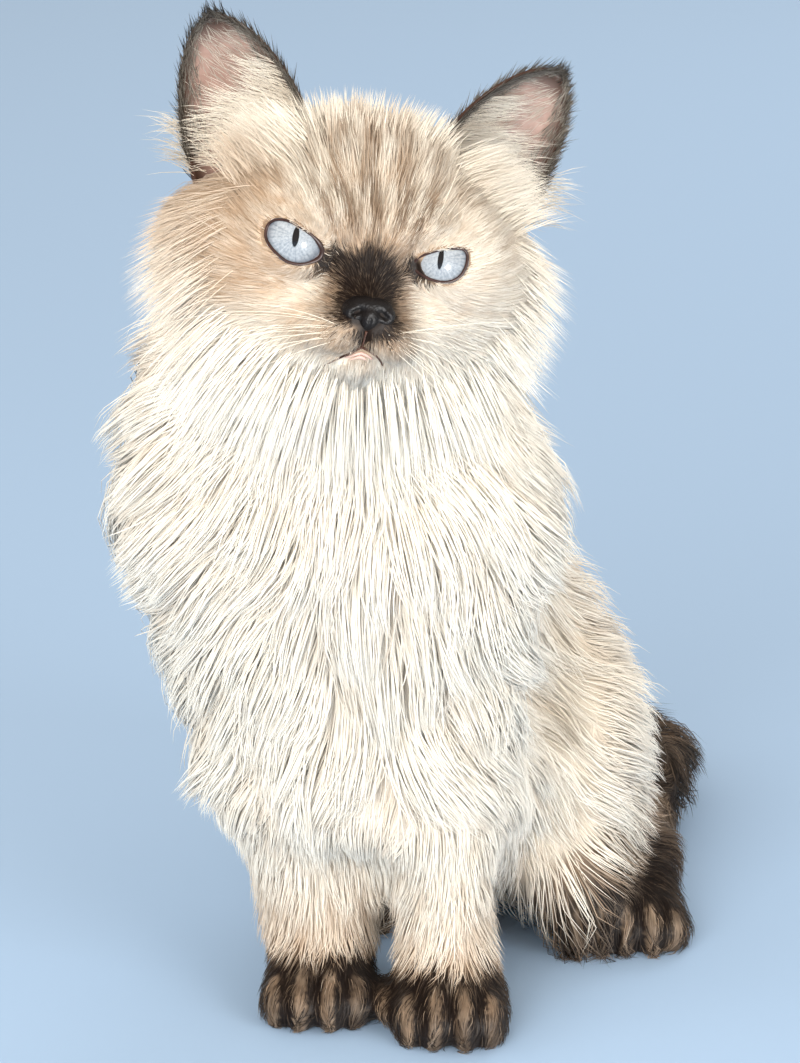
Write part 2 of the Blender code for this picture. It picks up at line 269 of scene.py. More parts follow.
@dataclass(frozen=True)
class HairFinish:
    """Keratin hair, or the skin it grows from: matt, with a soft sheen, and darker and warmer towards the
    roots as painted shade deep in the coat.

    The marks attribute gives the seal share, the fawn share, the place from root to tip and a tone
    for each tuft, so that skin and coat carry the same markings.
    """

    name: str = "cat_hair_keratin"
    cream: str = "#fff8ea"
    fawn: str = "#c0a58b"
    seal: str = "#190e08"
    # The root shade fields paint shade deep in the coat: each tuft darkens and warms towards its root.
    root_shade_tint: str = "#f0dfca"
    root_shade_share: float = 0.42
    root_shade_reach: float = 0.75
    tones: tuple[float, float] = (0.88, 1.06)
    roughness: float = 0.65
    specular: float = 0.2
    sheen: float = 0.08
    sheen_roughness: float = 0.4
    bump: float = 0.0
    bump_mm: float = 0.4
    blotch_share: float = 0.5
    blotch_mm: float = 9.0
    grain_mm: float = 0.6

    def material(self) -> bpy.types.Material:
        """The finish as a node material."""
        material, tree, output = new_material(self.name)
        marks = add_node(tree, "ShaderNodeAttribute", attribute_name=MARKS)
        parts = add_node(tree, "ShaderNodeSeparateColor", {0: marks.outputs["Color"]})
        place = add_node(tree, "ShaderNodeTexCoord").outputs["Object"]
        blotch = noise(tree, place, MM_PER_METRE / self.blotch_mm)
        uneven = add_node(
            tree, "ShaderNodeMath", {0: blotch, 1: self.blotch_share, 2: -self.blotch_share / 2},
            operation="MULTIPLY_ADD",
        )
        fawn = add_node(
            tree, "ShaderNodeMath", {0: parts.outputs["Green"], 1: uneven.outputs[0]},
            operation="ADD", use_clamp=True,
        )
        warm = mix(tree, fawn.outputs[0], self.cream, self.fawn)
        points = mix(tree, parts.outputs["Red"], warm, self.seal)
        # Painted shade: the colour darkens towards each tuft's root, and on the skin that shows between
        # tufts.
        root_shade = remap(tree, parts.outputs["Blue"], 0.0, self.root_shade_reach, self.root_shade_share, 0.0)
        root_shaded = mix(tree, root_shade, points, self.root_shade_tint, "MULTIPLY")
        tone = remap(tree, marks.outputs["Alpha"], 0.0, 1.0, *self.tones)
        colour = add_node(tree, "ShaderNodeHueSaturation", {"Value": tone, "Color": root_shaded}).outputs[0]
        more = {
            "Specular IOR Level": self.specular, "Sheen Weight": self.sheen,
            "Sheen Roughness": self.sheen_roughness,
        }
        if self.bump:
            grain = noise(tree, place, MM_PER_METRE / self.grain_mm)
            more["Normal"] = bump_normal(tree, grain, self.bump, self.bump_mm)
        shade(tree, output, colour, self.roughness, more)
        return material


@dataclass(frozen=True)
class WetFinish:
    """Bare skin such as nose leather, lips and lid margins: mottled between two tones, and pebbled."""

    name: str
    colour: str
    hollow: str
    roughness: float = 0.32
    specular: float = 0.25
    coat: float = 0.35
    coat_roughness: float = 0.25
    mottle_scale: float = 400.0
    pebble_mm: float = 0.7
    bump: float = 0.5
    bump_mm: float = 0.15

    def material(self) -> bpy.types.Material:
        """The finish as a node material."""
        material, tree, output = new_material(self.name)
        place = add_node(tree, "ShaderNodeTexCoord").outputs["Object"]
        pebbles = add_node(
            tree, "ShaderNodeTexVoronoi", {"Vector": place, "Scale": MM_PER_METRE / self.pebble_mm}
        )
        colour = mix(tree, noise(tree, place, self.mottle_scale, 3.0), self.hollow, self.colour)
        normal = bump_normal(tree, pebbles.outputs["Distance"], self.bump, self.bump_mm, invert=True)
        more = {
            "Coat Weight": self.coat, "Coat Roughness": self.coat_roughness,
            "Specular IOR Level": self.specular, "Normal": normal,
        }
        shade(tree, output, colour, self.roughness, more)
        return material


@dataclass(frozen=True)
class IrisFinish:
    """A living eye: a pale ice-blue iris with fine spokes and a slit pupil, under a wet cornea.

    The gaze attribute holds a point's place across the eye, in millimetres from the pupil.
    """

    name: str
    pupil_half: tuple[float, float]
    iris: str = "#b2b6ba"
    spoke: str = "#7a8188"
    rim: str = "#525866"
    white: str = "#dfd3d2"
    pupil: str = "#0d0a0c"
    iris_radius: float = 8.6
    rim_width: float = 2.0
    rim_share: float = 0.6
    roughness: float = 0.35

    def material(self) -> bpy.types.Material:
        """The finish as a node material."""
        material, tree, output = new_material(self.name)
        gaze = add_node(tree, "ShaderNodeAttribute", attribute_name="gaze").outputs["Vector"]
        kind = "ShaderNodeVectorMath"
        flat = add_node(tree, kind, {0: gaze, 1: (1.0, 1.0, 0.0)}, operation="MULTIPLY").outputs[0]
        radius = add_node(tree, kind, {0: flat}, operation="LENGTH").outputs["Value"]
        around = add_node(tree, kind, {0: flat}, operation="NORMALIZE").outputs[0]
        spokes = noise(tree, around, 9.0, 4.0, 0.7)
        flecks = noise(tree, flat, 1.3, 4.0)
        both = add_node(tree, "ShaderNodeMath", {0: spokes, 1: flecks}, operation="ADD").outputs[0]
        fibres = mix(tree, remap(tree, both, 0.75, 1.35), self.iris, self.spoke)
        edge = self.iris_radius
        near_rim = remap(tree, radius, edge - self.rim_width, edge, end=self.rim_share)
        rimmed = mix(tree, near_rim, fibres, self.rim)
        ball = mix(tree, remap(tree, radius, edge, edge + 0.5), rimmed, self.white)
        shape = (1.0 / self.pupil_half[0], 1.0 / self.pupil_half[1], 0.0)
        slit = add_node(tree, kind, {0: flat, 1: shape}, operation="MULTIPLY").outputs[0]
        from_slit = add_node(tree, kind, {0: slit}, operation="LENGTH").outputs["Value"]
        colour = mix(tree, remap(tree, from_slit, 1.08, 0.92), ball, self.pupil)
        cornea = {"Coat Weight": 0.7, "Coat Roughness": 0.07, "Specular IOR Level": 0.1}
        shade(tree, output, colour, self.roughness, cornea)
        return material


@dataclass(frozen=True)
class StudioFinish:
    """Matt painted floor: one pale tone with no pattern that could draw the eye."""

    name: str = "matt_paint_pale"
    colour: str = "#9fb9d6"
    roughness: float = 0.9

    def material(self) -> bpy.types.Material:
        """The finish as a node material."""
        material, tree, output = new_material(self.name)
        shade(tree, output, linear(self.colour), self.roughness)
        return material


def coordinates(verts: object) -> np.ndarray:
    """The places of a mesh's or a bmesh's points."""
    return np.array([vert.co for vert in verts])


def fuse(piece: bpy.types.Object, voxel: float, rounds: int) -> None:
    """Joins a piece's overlapping bodies in one smoothed surface."""
    remesh = piece.modifiers.new("fuse", "REMESH")
    remesh.mode = "VOXEL"
    remesh.voxel_size = voxel
    smooth = piece.modifiers.new("smooth", "SMOOTH")
    smooth.iterations = rounds
    apply_modifiers(piece)


def link_piece(name: str, mesh: bpy.types.Mesh) -> bpy.types.Object:
    """A new object at the origin for a mesh, in the scene."""
    piece = bpy.data.objects.new(name, mesh)
    bpy.context.scene.collection.objects.link(piece)
    return piece


def mesh_from(name: str, bm: bmesh.types.BMesh) -> bpy.types.Mesh:
    """Turns a bmesh into a mesh and frees it."""
    mesh = bpy.data.meshes.new(name)
    bm.to_mesh(mesh)
    bm.free()
    return mesh


def apply_modifiers(piece: bpy.types.Object) -> None:
    """Makes a piece's modifiers part of its mesh."""
    graph = bpy.context.evaluated_depsgraph_get()
    mesh = bpy.data.meshes.new_from_object(piece.evaluated_get(graph))
    piece.modifiers.clear()
    old = piece.data
    piece.data = mesh
    bpy.data.meshes.remove(old)


def finish_piece(
    piece: bpy.types.Object, material: bpy.types.Material, slot: Slot, *nodes: str
) -> bpy.types.Object:
    """Dresses a finished piece and sets it on the body."""
    piece.data.materials.clear()
    piece.data.materials.append(material)
    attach(piece, BODY)
    if nodes:
        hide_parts(*nodes)
    piece.data.calc_loop_triangles()
    LOG.info("%s: %d triangles", piece.name, len(piece.data.loop_triangles))
    return piece


def mesh_arrays(mesh: bpy.types.Mesh) -> tuple[np.ndarray, np.ndarray]:
    """A triangulated mesh's points and its triangles' corners."""
    points = np.empty(len(mesh.vertices) * 3, np.float64)
    mesh.vertices.foreach_get("co", points)
    corners = np.empty(len(mesh.loops), np.int64)
    mesh.loops.foreach_get("vertex_index", corners)
    return points.reshape(-1, 3), corners.reshape(-1, 3)


def point_normals(points: np.ndarray, triangles: np.ndarray) -> np.ndarray:
    """Area-weighted unit normals at a mesh's points."""
    a, b, c = (points[triangles[:, k]] for k in range(3))
    faces = np.cross(b - a, c - a)
    total = np.zeros_like(points)
    for corner in range(3):
        for axis in range(3):
            total[:, axis] += np.bincount(
                triangles[:, corner], weights=faces[:, axis], minlength=len(points)
            )
    return unit(total)


class Web:
    """Which of a mesh's points are joined, for averaging values over the surface."""

    def __init__(self, triangles: np.ndarray, count: int) -> None:
        """Finds the edges of a triangulated mesh."""
        pairs = np.concatenate([triangles[:, [0, 1]], triangles[:, [1, 2]], triangles[:, [2, 0]]])
        pairs = np.unique(np.sort(pairs, axis=1), axis=0)
        self.ends = np.concatenate([pairs[:, 0], pairs[:, 1]])
        self.others = np.concatenate([pairs[:, 1], pairs[:, 0]])
        self.count = count
        self.degree = np.maximum(np.bincount(self.ends, minlength=count), 1)

    def neighbours(self, values: np.ndarray) -> np.ndarray:
        """The mean of the values next to each point."""
        if values.ndim == 1:
            return np.bincount(self.ends, weights=values[self.others], minlength=self.count) / self.degree
        return np.stack([self.neighbours(values[:, k]) for k in range(values.shape[1])], axis=1)

    def average(self, values: np.ndarray, rounds: int, share: float | np.ndarray = 0.6) -> np.ndarray:
        """The values after so many rounds of mixing each with its neighbours' mean."""
        if values.ndim == 2 and isinstance(share, np.ndarray):
            share = share[:, None]
        for _ in range(rounds):
            values = values + share * (self.neighbours(values) - values)
        return values


class Surface:
    """A triangulated surface that can be searched and sampled."""

    def __init__(self, mesh: bpy.types.Mesh) -> None:
        """Reads the mesh, its normals and its unwrap."""
        self.points, self.triangles = mesh_arrays(mesh)
        self.normals = point_normals(self.points, self.triangles)
        self.tree = BVHTree.FromPolygons(self.points.tolist(), self.triangles.tolist(), all_triangles=True)
        unwrap = np.zeros(len(mesh.loops) * 2)
        if mesh.uv_layers:
            mesh.uv_layers[COAT_MAP].data.foreach_get("uv", unwrap)
        self.unwrap = unwrap.reshape(-1, 3, 2)
        self.web = Web(self.triangles, len(self.points))
        a, b, c = (self.points[self.triangles[:, k]] for k in range(3))
        self.areas = np.linalg.norm(np.cross(b - a, c - a), axis=1) / 2

    def at(self, faces: np.ndarray, shares: np.ndarray, values: np.ndarray) -> np.ndarray:
        """Values that are known at the points, at places given by face and corner shares."""
        corner_values = values[self.triangles[faces]]
        if values.ndim == 1:
            return (corner_values * shares).sum(1)
        return (corner_values * shares[:, :, None]).sum(1)

    def unwrap_at(self, faces: np.ndarray, shares: np.ndarray) -> np.ndarray:
        """Where places given by face and corner shares lie on the unwrap."""
        return (self.unwrap[faces] * shares[:, :, None]).sum(1)

    def scatter(
        self, weights: np.ndarray, count: int, rng: np.random.Generator
    ) -> tuple[np.ndarray, np.ndarray]:
        """Random places on the surface.

        Args:
            weights: How dense they are at each point of the mesh.
            count: How many places.
            rng: A seeded source of random numbers.

        Returns:
            Each place's face, and the shares of its three corners.
        """
        chance = self.areas * weights[self.triangles].mean(1)
        steps = np.cumsum(chance)
        faces = np.searchsorted(steps, (np.arange(count) + rng.random(count)) / count * steps[-1])
        faces = np.minimum(faces, len(self.triangles) - 1)
        u, v = rng.random(count), rng.random(count)
        over = u + v > 1
        u[over], v[over] = 1 - u[over], 1 - v[over]
        return faces, np.stack([1 - u - v, u, v], axis=1)

    def nearest(self, places: np.ndarray) -> tuple[np.ndarray, np.ndarray]:
        """The nearest places on the surface, by face and corner shares."""
        find = self.tree.find_nearest
        found = [find(place) for place in places.tolist()]
        faces = np.array([item[2] for item in found])
        spots = np.array([tuple(item[0]) for item in found])
        a, b, c = (self.points[self.triangles[faces, k]] for k in range(3))
        across, up, out = b - a, c - a, spots - a
        d00, d01, d11 = (across * across).sum(1), (across * up).sum(1), (up * up).sum(1)
        d20, d21 = (out * across).sum(1), (out * up).sum(1)
        scale = np.maximum(d00 * d11 - d01 * d01, 1e-30)
        v = (d11 * d20 - d01 * d21) / scale
        w = (d00 * d21 - d01 * d20) / scale
        return faces, np.clip(np.stack([1 - v - w, v, w], axis=1), 0.0, 1.0)


@dataclass(frozen=True)
class Lids:
    """One eye's opening, as the camera sees it: millimetres outward from the nose, and up.

    The opening's middle lies a little below the eyeball's.
    """

    side: float
    outline: tuple[tuple[float, float], ...]
    pupil_half: tuple[float, float]
    middle: tuple[float, float] = (0.3, -1.8)

    def axes(self) -> tuple[np.ndarray, np.ndarray, np.ndarray, np.ndarray]:
        """The eyeball's centre, and the outward, upward and gaze directions, in the head's frame."""
        centre = np.array([self.side * EYE_SPREAD, 0.0, 0.0])
        gaze = unit(to_head(np.array([CAMERA_PLACE]))[0] - centre)
        across = np.array([1.0, 0.0, 0.0])
        across = unit(across - gaze * (across @ gaze)) * self.side
        up = np.cross(gaze, across) * self.side
        up = up if up[2] > 0 else -up
        return centre, across, up, gaze

    def curve(self, count: int) -> np.ndarray:
        """The opening's closed outline as so many points, relative to its middle."""
        corners = np.array(self.outline)
        spans = len(corners)
        places = np.arange(count) / count * spans
        first = places.astype(int)
        t = (places - first)[:, None]
        p0, p1, p2, p3 = (corners[(first + k) % spans] for k in (-1, 0, 1, 2))
        return between(p0, p1, p2, p3, t)

    def across_eye(self, points: np.ndarray) -> tuple[np.ndarray, np.ndarray, np.ndarray, np.ndarray]:
        """How points lie to the opening.

        Args:
            points: Places in the head's frame, in millimetres.

        Returns:
            Their distance from the opening's middle as a share of the outline's, their place up and
            down, their distance from the eyeball's centre, and how far in front of it they are.
        """
        centre, across, up, gaze = self.axes()
        out = points - centre
        flat = np.stack([out @ across, out @ up], axis=1) - np.array(self.middle)
        curve = self.curve(180)
        turns = np.arctan2(curve[:, 1], curve[:, 0])
        order = np.argsort(turns)
        reach = np.interp(
            np.arctan2(flat[:, 1], flat[:, 0]), turns[order],
            np.linalg.norm(curve, axis=1)[order], period=2 * math.pi,
        )
        return np.linalg.norm(flat, axis=1) / reach, flat[:, 1], np.linalg.norm(out, axis=1), out @ gaze

    def on_ball(self, flat: np.ndarray, radius: float) -> np.ndarray:
        """Points of the outline's plane, laid on a ball about the eyeball's centre, in its frame."""
        centre, across, up, gaze = self.axes()
        offsets = flat + np.array(self.middle)
        depth = np.sqrt(np.maximum(radius**2 - (offsets**2).sum(1), 0.2))
        return centre + offsets[:, :1] * across + offsets[:, 1:] * up + depth[:, None] * gaze


@dataclass
class Camera:
    """The camera at the photograph's angle. Its scale is real size for each pixel at the cat."""

    azimuth: float = 12.0
    elevation: float = 18.0
    distance: float = 1.5
    metres_per_pixel: float = 0.335 * MM
    frame_height: int = 1063
    sensor: float = 36.0
    anchor: tuple[float, float, float] = (0.0, -100.0, 0.0)
    right_of_anchor: float = 15.0
    above_anchor: float = 520.5

    def directions(self) -> tuple[Vector, Vector, Vector]:
        """The directions back to the camera, to its right and up."""
        turn, rise = math.radians(self.azimuth), math.radians(self.elevation)
        back = Vector(
            (math.sin(turn) * math.cos(rise), -math.cos(turn) * math.cos(rise), math.sin(rise))
        )
        right = Vector((math.cos(turn), math.sin(turn), 0.0))
        return back, right, back.cross(right)

    def place(self) -> Vector:
        """Where the camera stands."""
        back, right, up = self.directions()
        target = (
            Vector(from_design(np.array(self.anchor)))
            + right * (self.right_of_anchor * self.metres_per_pixel)
            + up * (self.above_anchor * self.metres_per_pixel)
        )
        return target + back * self.distance

    def build(self) -> None:
        """Adds the camera and makes it the scene's."""
        lens = bpy.data.cameras.new("camera")
        lens.sensor_fit = "VERTICAL"
        lens.sensor_width = self.sensor
        lens.sensor_height = self.sensor
        lens.lens = self.distance / self.metres_per_pixel / self.frame_height * self.sensor
        lens.clip_start = 0.05
        camera = bpy.data.objects.new("camera", lens)
        camera.location = self.place()
        camera.rotation_mode = "QUATERNION"
        camera.rotation_quaternion = (-self.directions()[0]).to_track_quat("-Z", "Y")
        bpy.context.scene.collection.objects.link(camera)
        bpy.context.scene.camera = camera


CAMERA_PLACE = tuple(Camera().place())

LIDS = (
    Lids(
        side=-1.0,
        outline=(
            (-9.1, -1.8), (-8.4, 0.2), (-6.1, 2.4), (-2.9, 4.2), (0.8, 5.8), (4.2, 6.4), (7.0, 5.9),
            (8.9, 3.9),
            (9.0, 0.6), (7.4, -2.0), (4.5, -4.4), (1.4, -6.1), (-2.1, -6.5), (-5.3, -5.7), (-8.2, -3.9),
        ),
        pupil_half=(1.0, 3.1),
    ),
    Lids(
        side=1.0,
        outline=(
            (-8.6, -1.1), (-6.9, 1.4), (-3.9, 3.2), (-0.4, 4.7), (3.2, 5.6), (6.1, 5.8), (7.5, 4.8),
            (8.0, 3.0),
            (7.8, 0.4), (6.6, -2.5), (4.2, -4.5), (1.0, -5.3), (-2.4, -5.0), (-5.3, -4.0), (-7.4, -2.8),
        ),
        pupil_half=(0.85, 3.2),
    ),
)


@dataclass(frozen=True)
class Growth:
    """How the coat grows on one part of the body, in millimetres.

    Stand is 0 where hair lies flat and 1 where it rises evenly to its tip. Clump is how far the tips
    of a lock gather, from 0 to 1.
    """

    depth: float
    length: float
    width: float
    lock: float
    clump: float
    stand: float


@dataclass(frozen=True)
class Lie:
    """Which way hair points: away from a source, with a steady pull. Places are design millimetres."""

    source: tuple[float, float, float]
    spread: float
    pull: tuple[float, float, float]

    def at(self, places: np.ndarray) -> np.ndarray:
        """The direction at each place."""
        return unit(places - np.array(self.source)) * self.spread + np.array(self.pull)


GROWTHS: dict[str, Growth] = {
    "head": Growth(9.0, 20.0, 0.40, 5.0, 0.55, 0.55),
    "neck": Growth(17.0, 44.0, 0.68, 12.0, 0.72, 0.75),
    "chest": Growth(16.0, 46.0, 0.74, 15.0, 0.80, 0.62),
    "trunk": Growth(13.0, 32.0, 0.58, 9.0, 0.65, 0.55),
    "rump": Growth(13.0, 32.0, 0.58, 9.0, 0.65, 0.55),
    "thigh": Growth(12.0, 28.0, 0.54, 7.0, 0.60, 0.65),
    "foreleg": Growth(6.0, 17.0, 0.42, 5.0, 0.50, 0.50),
    "fore_paw": Growth(2.4, 8.5, 0.36, 3.5, 0.45, 0.60),
    "hind_paw": Growth(4.0, 11.0, 0.40, 4.0, 0.50, 0.50),
    "tail": Growth(10.0, 26.0, 0.46, 7.0, 0.60, 0.70),
}

LIES: dict[str, Lie] = {
    "neck": Lie((-10.0, -104.0, 272.0), 1.0, (0.0, 0.20, -0.20)),
    "chest": Lie((-6.0, -104.0, 222.0), 1.0, (-0.06, 0.06, -0.10)),
    "trunk": Lie((-18.0, -60.0, 260.0), 0.5, (0.0, 0.35, -0.55)),
    "rump": Lie((6.0, 30.0, 160.0), 0.4, (0.0, 0.20, -0.80)),
    "thigh_left": Lie((0.0, -20.0, 105.0), 0.9, (0.15, 0.40, -0.25)),
    "thigh_right": Lie((10.0, -20.0, 105.0), 0.9, (-0.15, 0.40, -0.25)),
    "foreleg_left": Lie((11.0, -60.0, 120.0), 0.3, (0.05, 0.0, -1.0)),
    "foreleg_right": Lie((-40.0, -56.0, 120.0), 0.3, (-0.05, 0.0, -1.0)),
    "fore_paw_left": Lie((16.0, -52.0, 34.0), 1.0, (0.0, -0.4, -0.2)),
    "fore_paw_right": Lie((-30.0, -46.0, 34.0), 1.0, (0.0, -0.4, -0.2)),
    "hind_paw_left": Lie((56.0, 50.0, 34.0), 1.0, (0.10, -0.6, -0.2)),
    "hind_paw_right": Lie((-32.0, 56.0, 34.0), 1.0, (-0.05, -0.6, -0.2)),
    "tail_root": Lie((4.0, 70.0, 60.0), 0.5, (-0.10, 0.80, -0.40)),
    "tail_middle": Lie((24.0, 140.0, 18.0), 0.4, (0.90, 0.0, 0.0)),
    "tail_tip": Lie((58.0, 170.0, 18.0), 0.4, (0.0, -1.0, 0.0)),
}


def thinning(nodes: np.ndarray, body_points: np.ndarray) -> np.ndarray:
    """The share of its length that the coat keeps, which shortens above the forelegs and hind feet."""
    height, depth = body_points[:, 2], body_points[:, 1]
    chest = (nodes == FLESH.index("chest")) * ease(125.0, 60.0, height) * ease(-5.0, -25.0, depth)
    on_thigh = np.isin(nodes, [FLESH.index("thigh_left"), FLESH.index("thigh_right")])
    thighs = on_thigh * ease(52.0, 20.0, height)
    return 1.0 - 0.55 * chest - 0.5 * thighs


NOSE_TIP = np.array([0.0, -14.0, -18.0])
HEAD_SOURCE = np.array([0.0, -17.0, -17.0])


def growth_of(node: str) -> Growth:
    """The growth on a CAD node of flesh."""
    for key, growth in GROWTHS.items():
        if node.startswith(key):
            return growth
    raise KeyError(node)


def from_features(head_points: np.ndarray) -> np.ndarray:
    """How far places on the face lie from the bare edges of the eyes, nose and mouth, in millimetres."""
    reach = np.linalg.norm(head_points - NOSE_TIP, axis=1) - BARE_REACH
    for lids in LIDS:
        centre, _, _, gaze = lids.axes()
        from_eye = np.linalg.norm(head_points - centre - gaze * EYE_FRONT, axis=1)
        reach = np.minimum(reach, from_eye - BARE_REACH)
    mouth = np.linalg.norm((head_points - np.array([0.0, -17.0, -31.0])) / np.array([1.6, 1.0, 1.0]), axis=1)
    return np.maximum(np.minimum(reach, mouth - 3.0), 0.0)


LIP_LINES = (
    ((0.0, -24.5), (0.0, -27.6), (0.0, -29.8)),
    ((0.0, -29.8), (-2.8, -31.6), (-6.2, -34.8), (-9.5, -38.6)),
    ((0.0, -29.8), (3.2, -31.0), (7.0, -33.4), (10.6, -37.6)),
)


def from_lips(head_points: np.ndarray) -> np.ndarray:
    """How far places on the muzzle lie from the lip lines, in millimetres, seen from the front."""
    flat = head_points[:, [0, 2]]
    far = np.full(len(flat), 99.0)
    for line in LIP_LINES:
        for start, end in zip(np.array(line)[:-1], np.array(line)[1:]):
            run = end - start
            share = np.clip(((flat - start) @ run) / (run @ run), 0.0, 1.0)
            far = np.minimum(far, np.linalg.norm(flat - start - share[:, None] * run, axis=1))
    return np.where(head_points[:, 1] < -4.0, far, 99.0)


def near_ears(head_points: np.ndarray) -> np.ndarray:
    """How near places on the head are to the fronts of the ears' bases, from 0 to 1."""
    sides = [
        np.exp(-(np.linalg.norm(head_points - np.array([side * 42.0 + 5.0, 26.0, 24.0]), axis=1) / 17.0) ** 2)
        for side in (-1.0, 1.0)
    ]
    return np.maximum(*sides)


def face_growth(head_points: np.ndarray) -> dict[str, np.ndarray]:
    """The head's growth, which shortens towards the eyes, nose and mouth."""
    away = from_features(head_points)
    low = ease(-31.0, -44.0, head_points[:, 2] + 6.0 * ease(20.0, 45.0, np.abs(head_points[:, 0])))
    behind = ease(20.0, 60.0, head_points[:, 1])
    sides = ease(22.0, 50.0, np.abs(head_points[:, 0] - 1.0)) * ease(36.0, -20.0, head_points[:, 2])
    ears = near_ears(head_points)
    high = ease(6.0, 26.0, head_points[:, 2]) * (1.0 - behind)
    length = (
        2.6 + 0.36 * np.minimum(away, 50.0) + 16.0 * low + 3.0 * behind + 12.0 * sides + 16.0 * ears
        + 6.0 * high
    )
    return {
        "depth": 1.2 + 0.17 * np.minimum(away, 50.0) + 2.0 * behind + 3.5 * low + 4.0 * sides + 3.5 * high
        + 2.0 * ears,
        "length": length,
        "width": 0.23 + 0.0065 * length,
        "lock": 1.8 + 0.17 * length,
        "clump": 0.25 + 0.35 * ease(4.0, 18.0, length),
        "stand": 0.6 + 0.4 * np.maximum(high, sides),
    }


def face_lie(head_points: np.ndarray) -> np.ndarray:
    """Which way the head's hair points, in the head's frame: back from the nose and round the eyes."""
    away = unit(head_points - HEAD_SOURCE)
    behind = ease(25.0, 65.0, head_points[:, 1])[:, None]
    low = ease(-22.0, -42.0, head_points[:, 2])[:, None]
    flow = unit(away + behind * np.array([0.0, 0.2, -1.5]) + low * np.array([0.0, -0.2, -1.3]))
    for lids in LIDS:
        centre, _, _, gaze = lids.axes()
        out = head_points - centre - gaze * EYE_FRONT
        near = np.linalg.norm(out, axis=1, keepdims=True)
        out = unit(out)
        towards = np.clip(-(flow * out).sum(1, keepdims=True), 0.0, None)
        close = np.exp(-(((near - 7.0) / 7.0) ** 2))
        flow = unit(flow + out * close * (0.2 + 1.7 * towards))
    return flow


@dataclass(frozen=True)
class Spot:
    """A rounded patch of a marking, with a soft edge. Sizes are in millimetres."""

    centre: tuple[float, float, float]
    radii: tuple[float, float, float]
    strength: float
    soft: float = 0.35

    def at(self, places: np.ndarray) -> np.ndarray:
        """The marking's share at each place."""
        far = np.linalg.norm((places - np.array(self.centre)) / np.array(self.radii), axis=1)
        return self.strength * ease(1.0 + self.soft, 1.0 - self.soft, far)


FACE_SEAL = (
    Spot((0.0, -14.0, -11.0), (10.2, 16.0, 11.5), 1.0, 0.25),
    Spot((0.0, -18.0, -20.0), (11.8, 10.0, 6.6), 0.95, 0.28),
    Spot((0.0, -15.0, -15.0), (16.0, 16.0, 14.5), 0.34, 0.35),
    Spot((-12.3, -11.0, -6.0), (6.0, 8.0, 5.0), 1.0, 0.35),
    Spot((13.9, -10.0, -4.2), (4.2, 8.0, 4.2), 0.95, 0.4),
    Spot((-53.0, 32.0, 20.0), (6.0, 14.0, 11.0), 0.75, 0.4),
)
# Fawn on the face, partly painted shade. The spots on the cat's right cheek, under its right eye and on the
# right of its muzzle (-X) are far stronger than their mirrors, as shade where that side of the face falls
# darker. The rest is the coat's own fawn.
FACE_FAWN_AND_SIDE_SHADE = (
    Spot((0.0, 0.0, 22.0), (20.0, 40.0, 26.0), 0.78, 0.5),
    Spot((0.0, -8.0, 4.0), (17.0, 20.0, 12.0), 0.85, 0.4),
    Spot((-48.0, 14.0, 10.0), (26.0, 36.0, 24.0), 0.85, 0.5),
    Spot((-36.0, 0.0, -8.0), (18.0, 24.0, 15.0), 0.75, 0.5),
    Spot((-50.0, 20.0, -14.0), (18.0, 30.0, 22.0), 0.50, 0.5),
    Spot((-16.0, -12.0, -24.0), (13.0, 12.0, 9.0), 0.55, 0.5),
    Spot((24.0, 4.0, 22.0), (16.0, 30.0, 14.0), 0.35, 0.5),
    Spot((50.0, 16.0, 0.0), (14.0, 34.0, 20.0), 0.15, 0.5),
    Spot((25.0, -6.0, -8.0), (15.0, 14.0, 9.0), 0.28, 0.5),
    Spot((0.0, -16.0, -27.0), (18.0, 10.0, 8.0), 0.75, 0.5),
    Spot((-26.0, -8.0, 6.0), (14.0, 14.0, 10.0), 0.50, 0.5),
    Spot((0.0, 62.0, 10.0), (56.0, 36.0, 52.0), 0.45, 0.5),
)
BODY_FAWN = (
    Spot((-8.0, 92.0, 90.0), (66.0, 50.0, 110.0), 0.50, 0.6),
    Spot((-12.0, 66.0, 200.0), (56.0, 40.0, 80.0), 0.42, 0.6),
    Spot((66.0, 54.0, 10.0), (48.0, 66.0, 42.0), 0.95, 0.5),
    Spot((-40.0, 60.0, 14.0), (40.0, 70.0, 46.0), 0.95, 0.5),
    Spot((20.0, -10.0, 10.0), (30.0, 36.0, 30.0), 0.60, 0.6),
)
BODY_SEAL = (
    Spot((60.0, 18.0, 8.0), (33.0, 44.0, 34.0), 1.0, 0.4),
    Spot((-35.0, 26.0, 4.0), (27.0, 36.0, 25.0), 1.0, 0.4),
    Spot((74.0, 72.0, 18.0), (30.0, 36.0, 34.0), 0.66, 0.6),
    Spot((-36.0, 72.0, 16.0), (26.0, 32.0, 28.0), 0.66, 0.6),
    Spot((8.0, 116.0, 34.0), (34.0, 26.0, 30.0), 0.80, 0.45),
)


@dataclass(frozen=True)
class Paw:
    """Where a paw's toes lie: a centre on the floor, the way they point and how wide they spread.

    Sizes are design millimetres; turn is measured from -Y towards +X.
    """

    centre: tuple[float, float]
    turn: float
    front: float
    toe_width: float
    toe_shift: float = 0.0

    def toes(self, body: np.ndarray) -> np.ndarray:
        """From 1 on the middle of each toe to -1 between toes, fading to 0 behind the toes."""
        away = body[:, :2] - np.array(self.centre)
        turn = math.radians(self.turn)
        ahead = away @ np.array([math.sin(turn), -math.cos(turn)])
        across = away @ np.array([math.cos(turn), math.sin(turn)])
        wave = np.cos(2 * math.pi * (across - self.toe_shift) / self.toe_width)
        fade = ease(self.front - 16.0, self.front - 6.0, ahead)
        fade = fade * ease(self.front + 14.0, self.front + 8.0, ahead)
        inside = ease(26.0, 21.0, np.abs(across)) * ease(23.0, 15.0, body[:, 2])
        return wave * fade * inside


